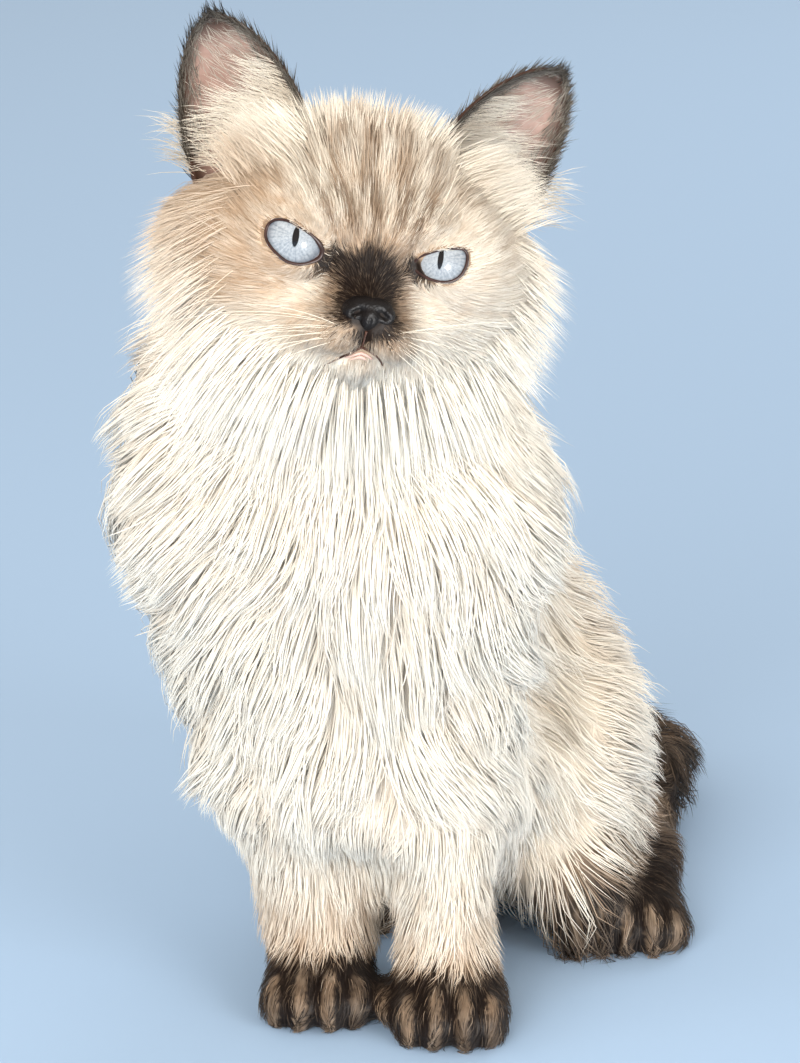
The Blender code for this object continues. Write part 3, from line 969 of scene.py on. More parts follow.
PAWS = (
    Paw((17.0, -74.0), 11.0, 22.0, 9.6, 4.8),
    Paw((-30.0, -68.0), 9.0, 22.0, 9.6, 4.8),
    Paw((65.0, 19.0), 14.0, 26.0, 9.0, 4.5),
    Paw((-34.0, 26.0), -4.0, 26.0, 9.0, 4.5),
)


def most(spots: tuple[Spot, ...], places: np.ndarray) -> np.ndarray:
    """The strongest of several spots at each place."""
    return np.max([spot.at(places) for spot in spots], axis=0)


def markings(points: np.ndarray) -> tuple[np.ndarray, np.ndarray]:
    """The coat's colouring, which skin and hair share.

    Args:
        points: World places.

    Returns:
        The share of seal brown, and the share of fawn over cream, at each place.
    """
    head, body = to_head(points), to_design(points)
    in_head = ease(222.0, 236.0, body[:, 2])
    turn = np.arctan2(head[:, 0], head[:, 2] + 22.0)
    streaks = 0.5 + 0.5 * np.sin(30.0 * turn + 1.8 * ripple(head, 26.0, 3))
    crown = ease(-2.0, 10.0, head[:, 2]) * ease(0.75, 0.35, np.abs(turn)) * ease(60.0, 30.0, head[:, 1])
    ragged = head * (1.0 + 0.10 * ripple(head, 8.0, 21))[:, None]
    face_fawn = (0.05 + 0.95 * most(FACE_FAWN_AND_SIDE_SHADE, head)) * (1.0 - 0.75 * crown * streaks)
    dark_roots = 0.48 * crown * (1.0 - streaks) * ease(30.0, 4.0, head[:, 2])
    face_seal = np.maximum(most(FACE_SEAL, ragged), dark_roots)
    height, forward = body[:, 2], ease(-20.0, -34.0, body[:, 1])
    leg_fawn = 0.60 * forward * ease(64.0, 26.0, height + 8.0 * ripple(body, 40.0, 5))
    paw_top = 25.0 + 3.0 * ripple(body, 18.0, 8)
    leg_seal = forward * ease(paw_top + 6.0, paw_top - 7.0, height)
    tail = ease(92.0, 104.0, body[:, 1]) * ease(64.0, 50.0, height)
    body_fawn = np.maximum(most(BODY_FAWN, body), leg_fawn)
    tail_seal = (0.85 - 0.35 * ease(20.0, 34.0, height)) * tail
    body_seal = np.maximum.reduce([most(BODY_SEAL, body), leg_seal, tail_seal])
    toes = np.max([paw.toes(body) for paw in PAWS], axis=0)
    mottle = 0.75 + 0.25 * ripple(body, 11.0, 31)
    body_seal = body_seal * (1.0 - 0.72 * ease(0.0, 0.5, toes) * mottle)
    seal = in_head * face_seal + (1.0 - in_head) * body_seal
    fawn = np.maximum(in_head * face_fawn + (1.0 - in_head) * body_fawn, 0.95 * ease(0.03, 0.35, seal))
    seal = 1.0 - (1.0 - np.clip(seal, 0.0, 1.0)) ** 1.6
    return np.clip(seal, 0.0, 1.0), np.clip(fawn, 0.0, 1.0)


def write_marks(
    mesh: bpy.types.Mesh, seal: np.ndarray, fawn: np.ndarray, along: np.ndarray, tone: np.ndarray
) -> None:
    """Stores the markings on a mesh's points."""
    attribute = mesh.attributes.new(MARKS, "FLOAT_COLOR", "POINT")
    values = np.stack([seal, fawn, along, tone], axis=1).astype(np.float32)
    attribute.data.foreach_set("color", values.ravel())


@dataclass(frozen=True)
class Brush:
    """A soft push on the face's skin, in the head's frame and in millimetres."""

    centre: tuple[float, float, float]
    radii: tuple[float, float, float]
    push: float

    def at(self, places: np.ndarray) -> np.ndarray:
        """How far each place is pushed out along its normal."""
        far = ((places - np.array(self.centre)) / np.array(self.radii)) ** 2
        return self.push * np.exp(-far.sum(1))


@dataclass
class Skin:
    """The bare skin under the coat: one closed surface that replaces every node of flesh."""

    voxel: float = 2.08 * MM
    overlap: float = 0.5 * MM
    face_middle: tuple[float, float, float] = (0.0, -6.0, -10.0)
    sink_steps: int = 10
    socket_share: float = 0.93
    socket_radius: float = 9.6
    lid_radius: float = 11.5
    least_lid_radius: float = 11.3
    brushes: tuple[Brush, ...] = (
        Brush((-22.0, -10.0, 11.5), (11.0, 9.0, 3.6), 1.6),
        Brush((22.0, -10.0, 10.5), (11.0, 9.0, 3.6), 1.9),
        Brush((0.0, -12.0, 6.0), (3.5, 9.0, 8.0), -0.8),
        Brush((-9.0, -18.0, -26.5), (6.0, 8.0, 5.0), 1.4),
        Brush((9.0, -18.0, -26.5), (6.0, 8.0, 5.0), 1.4),
        Brush((0.0, -19.0, -27.5), (1.3, 8.0, 4.5), -2.0),
        Brush((0.0, -18.0, -19.5), (6.5, 6.0, 4.5), -1.6),
        Brush((0.0, -14.0, -37.5), (7.0, 8.0, 4.0), 1.2),
        Brush((-7.0, -16.0, -34.0), (4.5, 8.0, 1.7), -1.5),
        Brush((7.0, -16.0, -34.0), (4.5, 8.0, 1.7), -1.5),
        Brush((0.0, -17.0, -31.0), (4.0, 8.0, 1.6), -1.2),
        Brush((-13.5, -9.0, -8.0), (4.0, 8.0, 5.0), -0.9),
        Brush((13.5, -9.0, -8.0), (4.0, 8.0, 5.0), -0.9),
    )
    surface: Surface = field(init=False)
    outer: np.ndarray = field(init=False)
    nodes: np.ndarray = field(init=False)

    def whole(self) -> bpy.types.Object:
        """All the flesh in one closed skin at the coat's tips."""
        flesh = bmesh.new()
        for node in (*FLESH, "eye_left", "eye_right", "nose"):
            bm = bmesh.new()
            bm.from_mesh(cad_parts[node].data)
            bmesh.ops.remove_doubles(bm, verts=bm.verts, dist=1e-6)
            bm.normal_update()
            for vert in bm.verts:
                vert.co += vert.normal * self.overlap
            mesh = mesh_from("flesh", bm)
            flesh.from_mesh(mesh)
            bpy.data.meshes.remove(mesh)
        piece = link_piece("skin", mesh_from("skin", flesh))
        fuse(piece, self.voxel, 4)
        return piece

    def refine(self, piece: bpy.types.Object) -> None:
        """Gives the face a finer mesh, and splits all faces into triangles."""
        bm = bmesh.new()
        bm.from_mesh(piece.data)
        for reach in (40.0, 30.0):
            bm.verts.ensure_lookup_table()
            points = to_head(coordinates(bm.verts))
            far = np.linalg.norm((points - np.array(self.face_middle)) / np.array([1.1, 0.8, 0.95]), axis=1)
            inside = (far < reach) & (points[:, 1] < 12.0)
            edges = [edge for edge in bm.edges if all(inside[vert.index] for vert in edge.verts)]
            bmesh.ops.subdivide_edges(bm, edges=edges, cuts=1, use_grid_fill=True)
            bm.verts.index_update()
        bmesh.ops.triangulate(bm, faces=bm.faces)
        bm.to_mesh(piece.data)
        bm.free()

    def depths(self, points: np.ndarray) -> tuple[np.ndarray, np.ndarray]:
        """The coat's depth at the outer surface, and each point's node, by number."""
        corners, owners, faces = [], [], []
        for number, node in enumerate(FLESH):
            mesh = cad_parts[node].data
            mesh.calc_loop_triangles()
            start = len(corners)
            corners += [tuple(vert.co) for vert in mesh.vertices]
            faces += [tuple(start + k for k in tri.vertices) for tri in mesh.loop_triangles]
            owners += [number] * len(mesh.loop_triangles)
        tree = BVHTree.FromPolygons(corners, faces, all_triangles=True)
        owners = np.array(owners)
        nodes = owners[np.array([tree.find_nearest(point)[2] for point in points.tolist()])]
        table = np.array([growth_of(node).depth for node in FLESH])
        depth = table[nodes]
        on_head = nodes == FLESH.index("head")
        depth[on_head] = face_growth(to_head(points[on_head]))["depth"]
        return depth * thinning(nodes, to_design(points)), nodes

    def sink(self, points: np.ndarray, triangles: np.ndarray, web: Web) -> np.ndarray:
        """The points of the skin, sunk under the coat."""
        depth, self.nodes = self.depths(points)
        depth = web.average(depth, 40)
        grounded = points[:, 2] < 1.0 * MM
        body = to_design(points)
        ledge = ease(30.0, 50.0, body[:, 2]) * ease(120.0, 90.0, body[:, 2]) * ease(-14.0, -30.0, body[:, 1])
        points = web.average(points, 80, 0.5 * ledge)
        slack = np.clip(depth / 20.0, 0.02, 0.5)
        for _ in range(self.sink_steps):
            normals = web.average(point_normals(points, triangles), 2)
            step = -unit(normals) * (depth * MM / self.sink_steps)[:, None]
            step[grounded, 2] = 0.0
            points = points + step
            moved = web.average(points, 2, slack)
            moved[grounded, 2] = points[grounded, 2]
            points = moved
        smooth_nodes = [FLESH.index(node) for node in ("neck", "chest", "trunk", "rump")]
        return web.average(points, 14, 0.6 * np.isin(self.nodes, smooth_nodes))

    def sculpt(self, points: np.ndarray, triangles: np.ndarray, web: Web) -> np.ndarray:
        """The face's folds, and sockets and lids that fit the eyeballs."""
        head = to_head(points)
        front = (head[:, 1] < 14.0) & (np.linalg.norm(head - np.array(self.face_middle), axis=1) < 60.0)
        smooth = np.where(front, 0.5, 0.0)
        points = web.average(points, 3, smooth)
        ridges = np.sum([paw.toes(to_design(points)) for paw in PAWS], axis=0)
        points = points + point_normals(points, triangles) * (1.1 * MM * ridges)[:, None]
        head = to_head(points)
        normals = point_normals(points, triangles) @ HEAD_AXES
        push = np.sum([brush.at(head) for brush in self.brushes], axis=0) * front
        head = head + normals * push[:, None]
        for lids in LIDS:
            centre = lids.axes()[0]
            share, height, radius, ahead = lids.across_eye(head)
            near = front * ease(-6.0, -1.0, ahead) * ease(24.0, 18.0, radius) * ease(3.0, 2.2, share)
            fold = 0.5 * np.exp(-(((share - 1.3) / 0.15) ** 2)) * (height > 0)
            blend = ease(1.2, 2.6, share)
            lid = (self.lid_radius + fold) * (1 - blend) + np.maximum(radius, self.lid_radius) * blend
            wanted = np.where(share < self.socket_share, self.socket_radius, lid)
            radius_now = radius + near * (wanted - radius)
            head = centre + unit(head - centre) * radius_now[:, None]
            share, _, radius, ahead = lids.across_eye(head)
            off_axis = np.sqrt(np.maximum(radius**2 - ahead**2, 0.0))
            slope = 8.5 - 0.9 * (off_axis - 7.7) - ahead
            beside = front * (share > 1.05) * ease(26.0, 16.0, off_axis) * (ahead > -14.0)
            lift = np.maximum(slope, 0.0) * beside
            head = head + lift[:, None] * lids.axes()[3]
            ring = near * ease(1.2, 1.5, share)
            head = web.average(head, 6, 0.5 * ring)
            share, _, radius, ahead = lids.across_eye(head)
            low_lid = (share >= self.socket_share) & (radius < self.least_lid_radius)
            sunk = front & low_lid & (ahead > -4.0)
            head[sunk] = centre + unit(head[sunk] - centre) * self.least_lid_radius
        return from_head(head)

    def build(self) -> bpy.types.Object:
        """The finished skin."""
        piece = self.whole()
        self.refine(piece)
        outer, triangles = mesh_arrays(piece.data)
        web = Web(triangles, len(outer))
        self.outer = outer
        points = self.sculpt(self.sink(outer, triangles, web), triangles, web)
        points[:, 2] = np.maximum(points[:, 2], 0.3 * MM)
        piece.data.vertices.foreach_set("co", points.astype(np.float32).ravel())
        piece.data.update()
        self.unwrap(piece)
        seal, fawn = markings(points)
        near_lids = np.zeros(len(points))
        for lids in LIDS:
            share, _, radius, ahead = lids.across_eye(to_head(points))
            near_lids = np.maximum(near_lids, ease(1.45, 1.15, share) * (ahead > 2.0) * (radius < 16.0))
        seal, fawn = np.maximum(seal, 0.30 * near_lids), np.maximum(fawn, near_lids)
        count = len(points)
        # The skin takes the colour of the tufts' roots, with their painted shade, so it reads as shade deep
        # in the coat where it shows between tufts.
        write_marks(piece.data, seal, fawn, np.full(count, 0.12), np.full(count, 0.4))
        piece.data.shade_smooth()
        self.surface = Surface(piece.data)
        finish = HairFinish(name="cat_skin_furred", bump=0.4, sheen=0.1)
        return finish_piece(piece, finish.material(), Slot.CREAM, *FLESH)

    def unwrap(self, piece: bpy.types.Object) -> None:
        """Lays the skin out flat, in islands that follow its own shape."""
        piece.data.uv_layers.new(name=COAT_MAP)
        bpy.context.view_layer.objects.active = piece
        piece.select_set(True)
        bpy.ops.object.mode_set(mode="EDIT")
        bpy.ops.mesh.select_all(action="SELECT")
        bpy.ops.uv.smart_project(angle_limit=math.radians(66), island_margin=0.001)
        bpy.ops.object.mode_set(mode="OBJECT")
        piece.select_set(False)


@dataclass(frozen=True)
class Patch:
    """A stretch of the coat that is one piece.

    Segments is how many lengths a tuft bends in.
    """

    name: str
    tufts: int
    segments: int
    slot: Slot


def strand_mesh(
    name: str,
    paths: np.ndarray,
    outs: np.ndarray,
    widths: np.ndarray,
    roots_unwrap: np.ndarray,
    marks: tuple[np.ndarray, np.ndarray, np.ndarray],
) -> bpy.types.Object:
    """Joins many closed, tapering, three-sided tufts into one piece.

    Their shading normals lean towards the coat's own surface, which gives hair its soft look.

    Args:
        name: The piece's name.
        paths: Each tuft's centre line, as tufts by points by three.
        outs: The direction out of the coat at those points.
        widths: Each tuft's width at its root, in metres.
        roots_unwrap: Where each root lies on the skin's unwrap.
        marks: Each tuft's seal share, fawn share and tone.

    Returns:
        The piece.
    """
    count, points = paths.shape[:2]
    segments = points - 1
    run = np.gradient(paths, axis=1)
    sides = unit(np.cross(outs, run))
    ups = unit(np.cross(run, sides))
    share = np.linspace(0.0, 1.0, points)[:-1]
    taper = (1.0 - share) ** 0.55 * (0.75 + 0.25 * ease(0.0, 0.3, share))
    half = widths[:, None, None] * 0.5 * taper[None, :, None]
    body, across, out = paths[:, :-1], sides[:, :-1], ups[:, :-1]
    lean = outs[:, :-1] * 2.0
    facing = np.stack([lean - across - 0.3 * out, lean + across - 0.3 * out, lean + out], axis=2)
    facing = np.concatenate([facing.reshape(count, segments * 3, 3), outs[:, -1:]], axis=1)
    ring = np.stack([body - across * half - out * half * 0.35, body + across * half - out * half * 0.35,
                     body + out * half * 0.9], axis=2)
    vertices = np.concatenate([ring.reshape(count, segments * 3, 3), paths[:, -1:]], axis=1)
    each = segments * 3 + 1
    faces = [(0, 2, 1)]
    for level in range(segments - 1):
        for k in range(3):
            here, there = level * 3 + k, level * 3 + (k + 1) % 3
            faces += [(here, there, there + 3), (here, there + 3, here + 3)]
    last = (segments - 1) * 3
    faces += [(last + k, last + (k + 1) % 3, each - 1) for k in range(3)]
    faces = np.array(faces)
    corners = (faces[None] + (np.arange(count) * each)[:, None, None]).reshape(-1)
    mesh = bpy.data.meshes.new(name)
    mesh.vertices.add(count * each)
    mesh.vertices.foreach_set("co", vertices.astype(np.float32).ravel())
    mesh.loops.add(len(corners))
    mesh.loops.foreach_set("vertex_index", corners.astype(np.int32))
    mesh.polygons.add(count * len(faces))
    mesh.polygons.foreach_set("loop_start", np.arange(0, len(corners), 3, dtype=np.int32))
    mesh.update(calc_edges=True)
    level = np.append(np.repeat(np.arange(segments), 3), segments) / segments
    turn = np.append(np.tile([0.0, 1.0, 0.5], segments), 0.5)
    patch = (np.stack([turn, level], axis=1) - 0.5) * 0.003
    unwrap = roots_unwrap[:, None, :] + patch[None]
    layer = mesh.uv_layers.new(name=COAT_MAP)
    layer.data.foreach_set("uv", unwrap.reshape(-1, 2)[corners].astype(np.float32).ravel())
    seal, fawn, tone = (np.repeat(values, each) for values in marks)
    write_marks(mesh, seal, fawn, np.tile(level, count), tone)
    mesh.shade_smooth()
    mesh.normals_split_custom_set_from_vertices(unit(facing).reshape(-1, 3))
    return link_piece(name, mesh)


@dataclass
class Coat:
    """The coat, grown from the skin in patches."""

    skin: Skin
    seed: int = SEED
    floor_gap: float = 0.4 * MM
    root_sink: float = 0.25 * MM
    swirl: float = 0.22
    wisp_share: float = 0.05
    loose_share: float = 0.10
    patches: tuple[Patch, ...] = (
        Patch("coat_face", 17500, 2, Slot.CREAM),
        Patch("coat_crown", 7500, 3, Slot.CREAM),
        Patch("coat_cheeks", 7700, 3, Slot.CREAM),
        Patch("coat_nape", 2700, 3, Slot.CREAM),
        Patch("coat_ruff", 6500, 4, Slot.CREAM),
        Patch("coat_chest_left", 6300, 4, Slot.CREAM),
        Patch("coat_chest_right", 6700, 4, Slot.CREAM),
        Patch("coat_back", 5400, 3, Slot.WARM),
        Patch("coat_haunches", 5600, 3, Slot.WARM),
        Patch("coat_forelegs", 6700, 3, Slot.CREAM),
        Patch("coat_paws", 6800, 2, Slot.SEAL),
        Patch("coat_tail", 3000, 3, Slot.SEAL),
    )

    def prepare(self) -> None:
        """Works out, at each point of the skin, how its hair grows and lies."""
        surface, nodes = self.skin.surface, self.skin.nodes
        head = to_head(surface.points)
        body = to_design(surface.points)
        self.values = {}
        on_head = nodes == FLESH.index("head")
        face = face_growth(head)
        for key in ("depth", "length", "width", "lock", "clump", "stand"):
            table = np.array([getattr(growth_of(node), key) for node in FLESH])
            values = np.where(on_head, face[key], table[nodes])
            if key in ("depth", "length"):
                values = values * thinning(nodes, body)
            self.values[key] = surface.web.average(values, 25)
        self.values["stiff"] = surface.web.average(np.where(on_head, 0.75, 0.25), 10)
        flow = np.zeros_like(surface.points)
        for number, node in enumerate(FLESH):
            if node != "head":
                here = nodes == number
                flow[here] = unit(LIES[node].at(body[here]))
        flow[on_head] = face_lie(head[on_head]) @ HEAD_AXES.T
        flow = surface.web.average(flow, 14)
        swirl = np.stack([ripple(body, 48.0, 11 + axis) for axis in range(3)], axis=1)
        flow = flow + self.swirl * swirl * ease(4.0, 30.0, self.values["length"])[:, None]
        flow -= surface.normals * (flow * surface.normals).sum(1, keepdims=True)
        self.flow = unit(flow)

    def bareness(self) -> np.ndarray:
        """Where no hair grows: inside the lids, on the nose leather, and on the soles."""
        surface = self.skin.surface
        head = to_head(surface.points)
        furred = np.ones(len(head))
        for lids in LIDS:
            share, _, radius, ahead = lids.across_eye(head)
            furred[(share < 1.05) & (ahead > 2.0) & (radius < 16.0)] = 0.0
        leather = np.linalg.norm((head - np.array([0.0, -17.0, -19.5])) / np.array([5.8, 8.0, 4.6]), axis=1)
        furred[leather < 1.0] = 0.0
        furred[from_lips(head) < 1.0] = 0.0
        furred[(surface.points[:, 2] < 1.2 * MM) & (surface.normals[:, 2] < -0.3)] = 0.0
        return furred

    def weights(self, patch: Patch) -> np.ndarray:
        """How dense a patch's tufts are at each point of the skin."""
        surface, nodes = self.skin.surface, self.skin.nodes
        head, body = to_head(surface.points), to_design(surface.points)
        name = np.array(FLESH)[nodes]
        away = from_features(head)
        on_head = name == "head"
        front = on_head & (away < 17.0) & (head[:, 1] < 16.0)
        behind = on_head & ~front & (head[:, 1] > 34.0)
        crown = on_head & ~front & ~behind & (head[:, 2] > 4.0)
        cheeks = on_head & ~front & ~behind & ~crown
        chosen = {
            "coat_face": front,
            "coat_crown": crown,
            "coat_cheeks": cheeks,
            "coat_nape": behind,
            "coat_ruff": name == "neck",
            "coat_chest_left": (name == "chest") & (body[:, 0] >= -18.0),
            "coat_chest_right": (name == "chest") & (body[:, 0] < -18.0),
            "coat_back": (name == "trunk") | (name == "rump"),
            "coat_haunches": np.char.startswith(name, "thigh"),
            "coat_forelegs": np.char.startswith(name, "foreleg"),
            "coat_paws": np.char.startswith(name, "fore_paw") | np.char.startswith(name, "hind_paw"),
            "coat_tail": np.char.startswith(name, "tail"),
        }[patch.name]
        density = np.where(chosen, 1.0, 0.0)
        if patch.name == "coat_face":
            density *= 1.0 + 1.5 * ease(12.0, 2.0, away)
        return density * self.furred

    def march(
        self, faces: np.ndarray, shares: np.ndarray, segments: int, rng: np.random.Generator
    ) -> tuple[np.ndarray, np.ndarray, np.ndarray]:
        """Runs tufts over the skin. They are stiff, so they stand off it where it bends away.

        Args:
            faces: The face that each root is on.
            shares: Each root's corner shares.
            segments: How many lengths a tuft bends in.
            rng: A seeded source of random numbers.

        Returns:
            The tufts' centre lines, the skin's outward directions along them, and their tips' heights.
        """
        surface = self.skin.surface
        count = len(faces)
        length = surface.at(faces, shares, self.values["length"]) * MM
        depth = surface.at(faces, shares, self.values["depth"]) * MM
        stand = surface.at(faces, shares, self.values["stand"])
        length *= rng.uniform(0.72, 1.12, count)
        stiff = surface.at(faces, shares, self.values["stiff"])[:, None]
        tip_height = depth * rng.uniform(0.45, 1.05, count)
        wisps = rng.random(count) < self.wisp_share
        tip_height[wisps] *= rng.uniform(1.1, 1.35, wisps.sum())
        turn = rng.normal(0.0, 0.09, count)
        bend = rng.normal(0.0, 0.06, count)
        spots = surface.at(faces, shares, surface.points)
        step = np.sqrt(np.maximum(length**2 - tip_height**2, (0.4 * length) ** 2)) / segments
        lines, outs, heading = [], [], None
        power = 1.0 + 1.0 * (1.0 - stand)
        for level in range(segments + 1):
            normals = unit(surface.at(faces, shares, surface.normals))
            share = level / segments
            rise = tip_height * (1.0 - (1.0 - share) ** power)
            if level == 0:
                rise = rise - self.root_sink
            lines.append(spots + normals * rise[:, None])
            outs.append(normals)
            if level == segments:
                break
            flow = surface.at(faces, shares, self.flow)
            angle = (turn + bend * level)[:, None]
            flow = flow * np.cos(angle) + np.cross(normals, flow) * np.sin(angle)
            flow = unit(flow - normals * (flow * normals).sum(1, keepdims=True))
            heading = flow if heading is None else unit((0.2 + 0.5 * stiff) * (heading - flow) + flow)
            ahead = spots + heading * step[:, None]
            faces, shares = surface.nearest(ahead)
            spots = surface.at(faces, shares, surface.points)
            normals = surface.at(faces, shares, surface.normals)
            gap = np.clip(((ahead - spots) * normals).sum(1), 0.0, None)
            spots = spots + normals * stiff * gap[:, None]
        return np.stack(lines, axis=1), np.stack(outs, axis=1), tip_height

    def gather(
        self,
        paths: np.ndarray,
        outs: np.ndarray,
        heights: np.ndarray,
        lock: np.ndarray,
        clump: np.ndarray,
        rng: np.random.Generator,
    ) -> tuple[np.ndarray, np.ndarray, np.ndarray]:
        """Draws the tufts of each lock together towards its tip.

        Args:
            paths: The tufts' centre lines.
            outs: The skin's outward directions along them.
            heights: Their tips' heights over the skin.
            lock: How wide a lock is at each tuft, in metres.
            clump: How far tips gather, from 0 to 1.
            rng: A seeded source of random numbers.

        Returns:
            The new centre lines, how far each tuft is from its lock's middle from 0 to 1, and each
            tuft's leader.
        """
        roots = paths[:, 0]
        count = len(roots)
        leading = np.clip(self.patch_area / lock**2 / count, 0.002, 1.0)
        leaders = np.nonzero(rng.random(count) < leading)[0]
        leader = leaders[nearest_of(roots[leaders], roots)]
        apart = np.clip(np.linalg.norm(roots - roots[leader], axis=1) / (0.7 * lock), 0.0, 1.0)
        levels = np.linspace(0.0, 1.0, paths.shape[1])
        pull = clump[:, None] * levels[None, :] ** 1.2 * rng.uniform(0.75, 1.0, count)[:, None]
        loose = rng.random(count) < self.loose_share
        pull[loose] *= 0.25
        drop = (0.40 * apart**2 * heights)[:, None] * np.sin(levels * math.pi * 0.7)[None, :]
        paths = paths + (paths[leader] - paths) * pull[:, :, None] - outs * drop[:, :, None]
        return paths, apart, leader

    def grow(self, patch: Patch, material: bpy.types.Material) -> bpy.types.Object:
        """One patch of the coat."""
        surface = self.skin.surface
        rng = np.random.default_rng([self.seed, sum(map(ord, patch.name))])
        tufts = patch.tufts
        weights = self.weights(patch)
        self.patch_area = (surface.areas * (weights[surface.triangles].mean(1) > 0.3)).sum()
        faces, shares = surface.scatter(weights, tufts, rng)
        paths, outs, heights = self.march(faces, shares, patch.segments, rng)
        lock = surface.at(faces, shares, self.values["lock"]) * MM
        clump = surface.at(faces, shares, self.values["clump"])
        paths, apart, leader = self.gather(paths, outs, heights, lock, clump, rng)
        paths[:, :, 2] = np.maximum(paths[:, :, 2], self.floor_gap)
        widths = surface.at(faces, shares, self.values["width"]) * MM * rng.uniform(0.75, 1.2, tufts)
        unwrap = surface.unwrap_at(faces, shares)
        roots = paths[:, 0] + rng.normal(0.0, 1.1 * MM, (tufts, 3))
        seal, fawn = markings(roots)
        seal = np.clip(seal + rng.normal(0.0, 0.14, tufts) * (seal > 0.03) * (1.0 - 0.5 * seal), 0.0, 1.0)
        # Tufts towards a lock's edge take more fawn: painted shade in the partings between locks.
        fawn = np.clip(fawn + rng.normal(0.0, 0.07, tufts) + 0.26 * apart**2, 0.0, 1.0)
        tone = 0.5 * rng.random(tufts) + 0.5 * rng.random(tufts)[leader]
        piece = strand_mesh(patch.name, paths, outs, widths, unwrap, (seal, fawn, tone))
        return finish_piece(piece, material, patch.slot)

    def build(self) -> list[bpy.types.Object]:
        """Every patch of the coat."""
        self.prepare()
        self.furred = self.bareness()
        material = HairFinish().material()
        return [self.grow(patch, material) for patch in self.patches]


def tube(
    name: str, lines: list[tuple[np.ndarray, np.ndarray]], sides: int, closed: bool = False
) -> bpy.types.Object:
    """Round tubes along lines of points, joined in one piece.

    Args:
        name: The piece's name.
        lines: For each tube, its world points and its radius at each, in metres.
        sides: The bevel's resolution.
        closed: Whether each line is a ring.

    Returns:
        The piece.
    """
    curve = bpy.data.curves.new(name, "CURVE")
    curve.dimensions = "3D"
    curve.bevel_depth = 1.0
    curve.bevel_resolution = sides
    curve.use_fill_caps = not closed
    for points, radii in lines:
        spline = curve.splines.new("POLY")
        spline.points.add(len(points) - 1)
        for place, (point, radius) in enumerate(zip(points, radii)):
            spline.points[place].co = (*point, 1.0)
            spline.points[place].radius = radius
        spline.use_cyclic_u = closed
    guide = link_piece(name + "_guide", curve)
    graph = bpy.context.evaluated_depsgraph_get()
    mesh = bpy.data.meshes.new_from_object(guide.evaluated_get(graph))
    bpy.data.objects.remove(guide)
    bm = bmesh.new()
    bm.from_mesh(mesh)
    bmesh.ops.remove_doubles(bm, verts=bm.verts, dist=1e-6)
    bmesh.ops.recalc_face_normals(bm, faces=bm.faces)
    bm.to_mesh(mesh)
    bm.free()
    mesh.name = name
    mesh.shade_smooth()
    return link_piece(name, mesh)


@dataclass
class Eyes:
    """The eyeballs, and the dark wet rims of their lids."""

    radius: float = EYE_RADIUS
    rings: int = 64
    rim_radius: float = 0.46
    corner_radius: float = 0.85
    rim_lift: float = 0.6

    def ball(self, lids: Lids, name: str) -> bpy.types.Object:
        """One eyeball, with each point's place across the eye stored for the iris."""
        centre, across, up, gaze = lids.axes()
        axes = np.stack([across, up, gaze], axis=1)
        bm = bmesh.new()
        bmesh.ops.create_uvsphere(bm, u_segments=self.rings, v_segments=self.rings // 2, radius=self.radius)
        local = coordinates(bm.verts)
        cornea = 0.55 * np.exp(-((np.linalg.norm(local[:, :2], axis=1) / 6.5) ** 2)) * (local[:, 2] > 0)
        world = from_head((local + unit(local) * cornea[:, None]) @ axes.T + centre)
        for vert, place in zip(bm.verts, world):
            vert.co = place
        if np.linalg.det(axes) < 0:
            bmesh.ops.reverse_faces(bm, faces=bm.faces)
        mesh = mesh_from(name, bm)
        attribute = mesh.attributes.new("gaze", "FLOAT_VECTOR", "POINT")
        placed = local.copy()
        placed[local[:, 2] < 0, :2] += 40.0
        attribute.data.foreach_set("vector", placed.astype(np.float32).ravel())
        mesh.shade_smooth()
        return link_piece(name, mesh)

    def rim(self, lids: Lids, name: str) -> bpy.types.Object:
        """The lid margin along one opening, thick at the corner by the nose."""
        flat = lids.curve(72)
        inner = np.exp(-(((flat[:, 0] + 8.3) / 1.6) ** 2))
        points = from_head(lids.on_ball(flat, self.radius + self.rim_lift))
        radii = (self.rim_radius + (self.corner_radius - self.rim_radius) * inner) * MM
        return tube(name, [(points, radii)], 3, closed=True)

    def build(self) -> None:
        """Both eyes."""
        rim = WetFinish(
            "lid_margin_bare_skin", "#4b3029", "#1c1110", roughness=0.5, coat=0.1, pebble_mm=0.5, bump=0.15
        ).material()
        for lids, word in zip(LIDS, ("right", "left")):
            iris = IrisFinish("eye_wet_iris_" + word, lids.pupil_half).material()
            finish_piece(self.ball(lids, "eyeball_" + word), iris, Slot.EYE, "eye_" + word)
            finish_piece(self.rim(lids, "lid_rim_" + word), rim, Slot.NOSE)


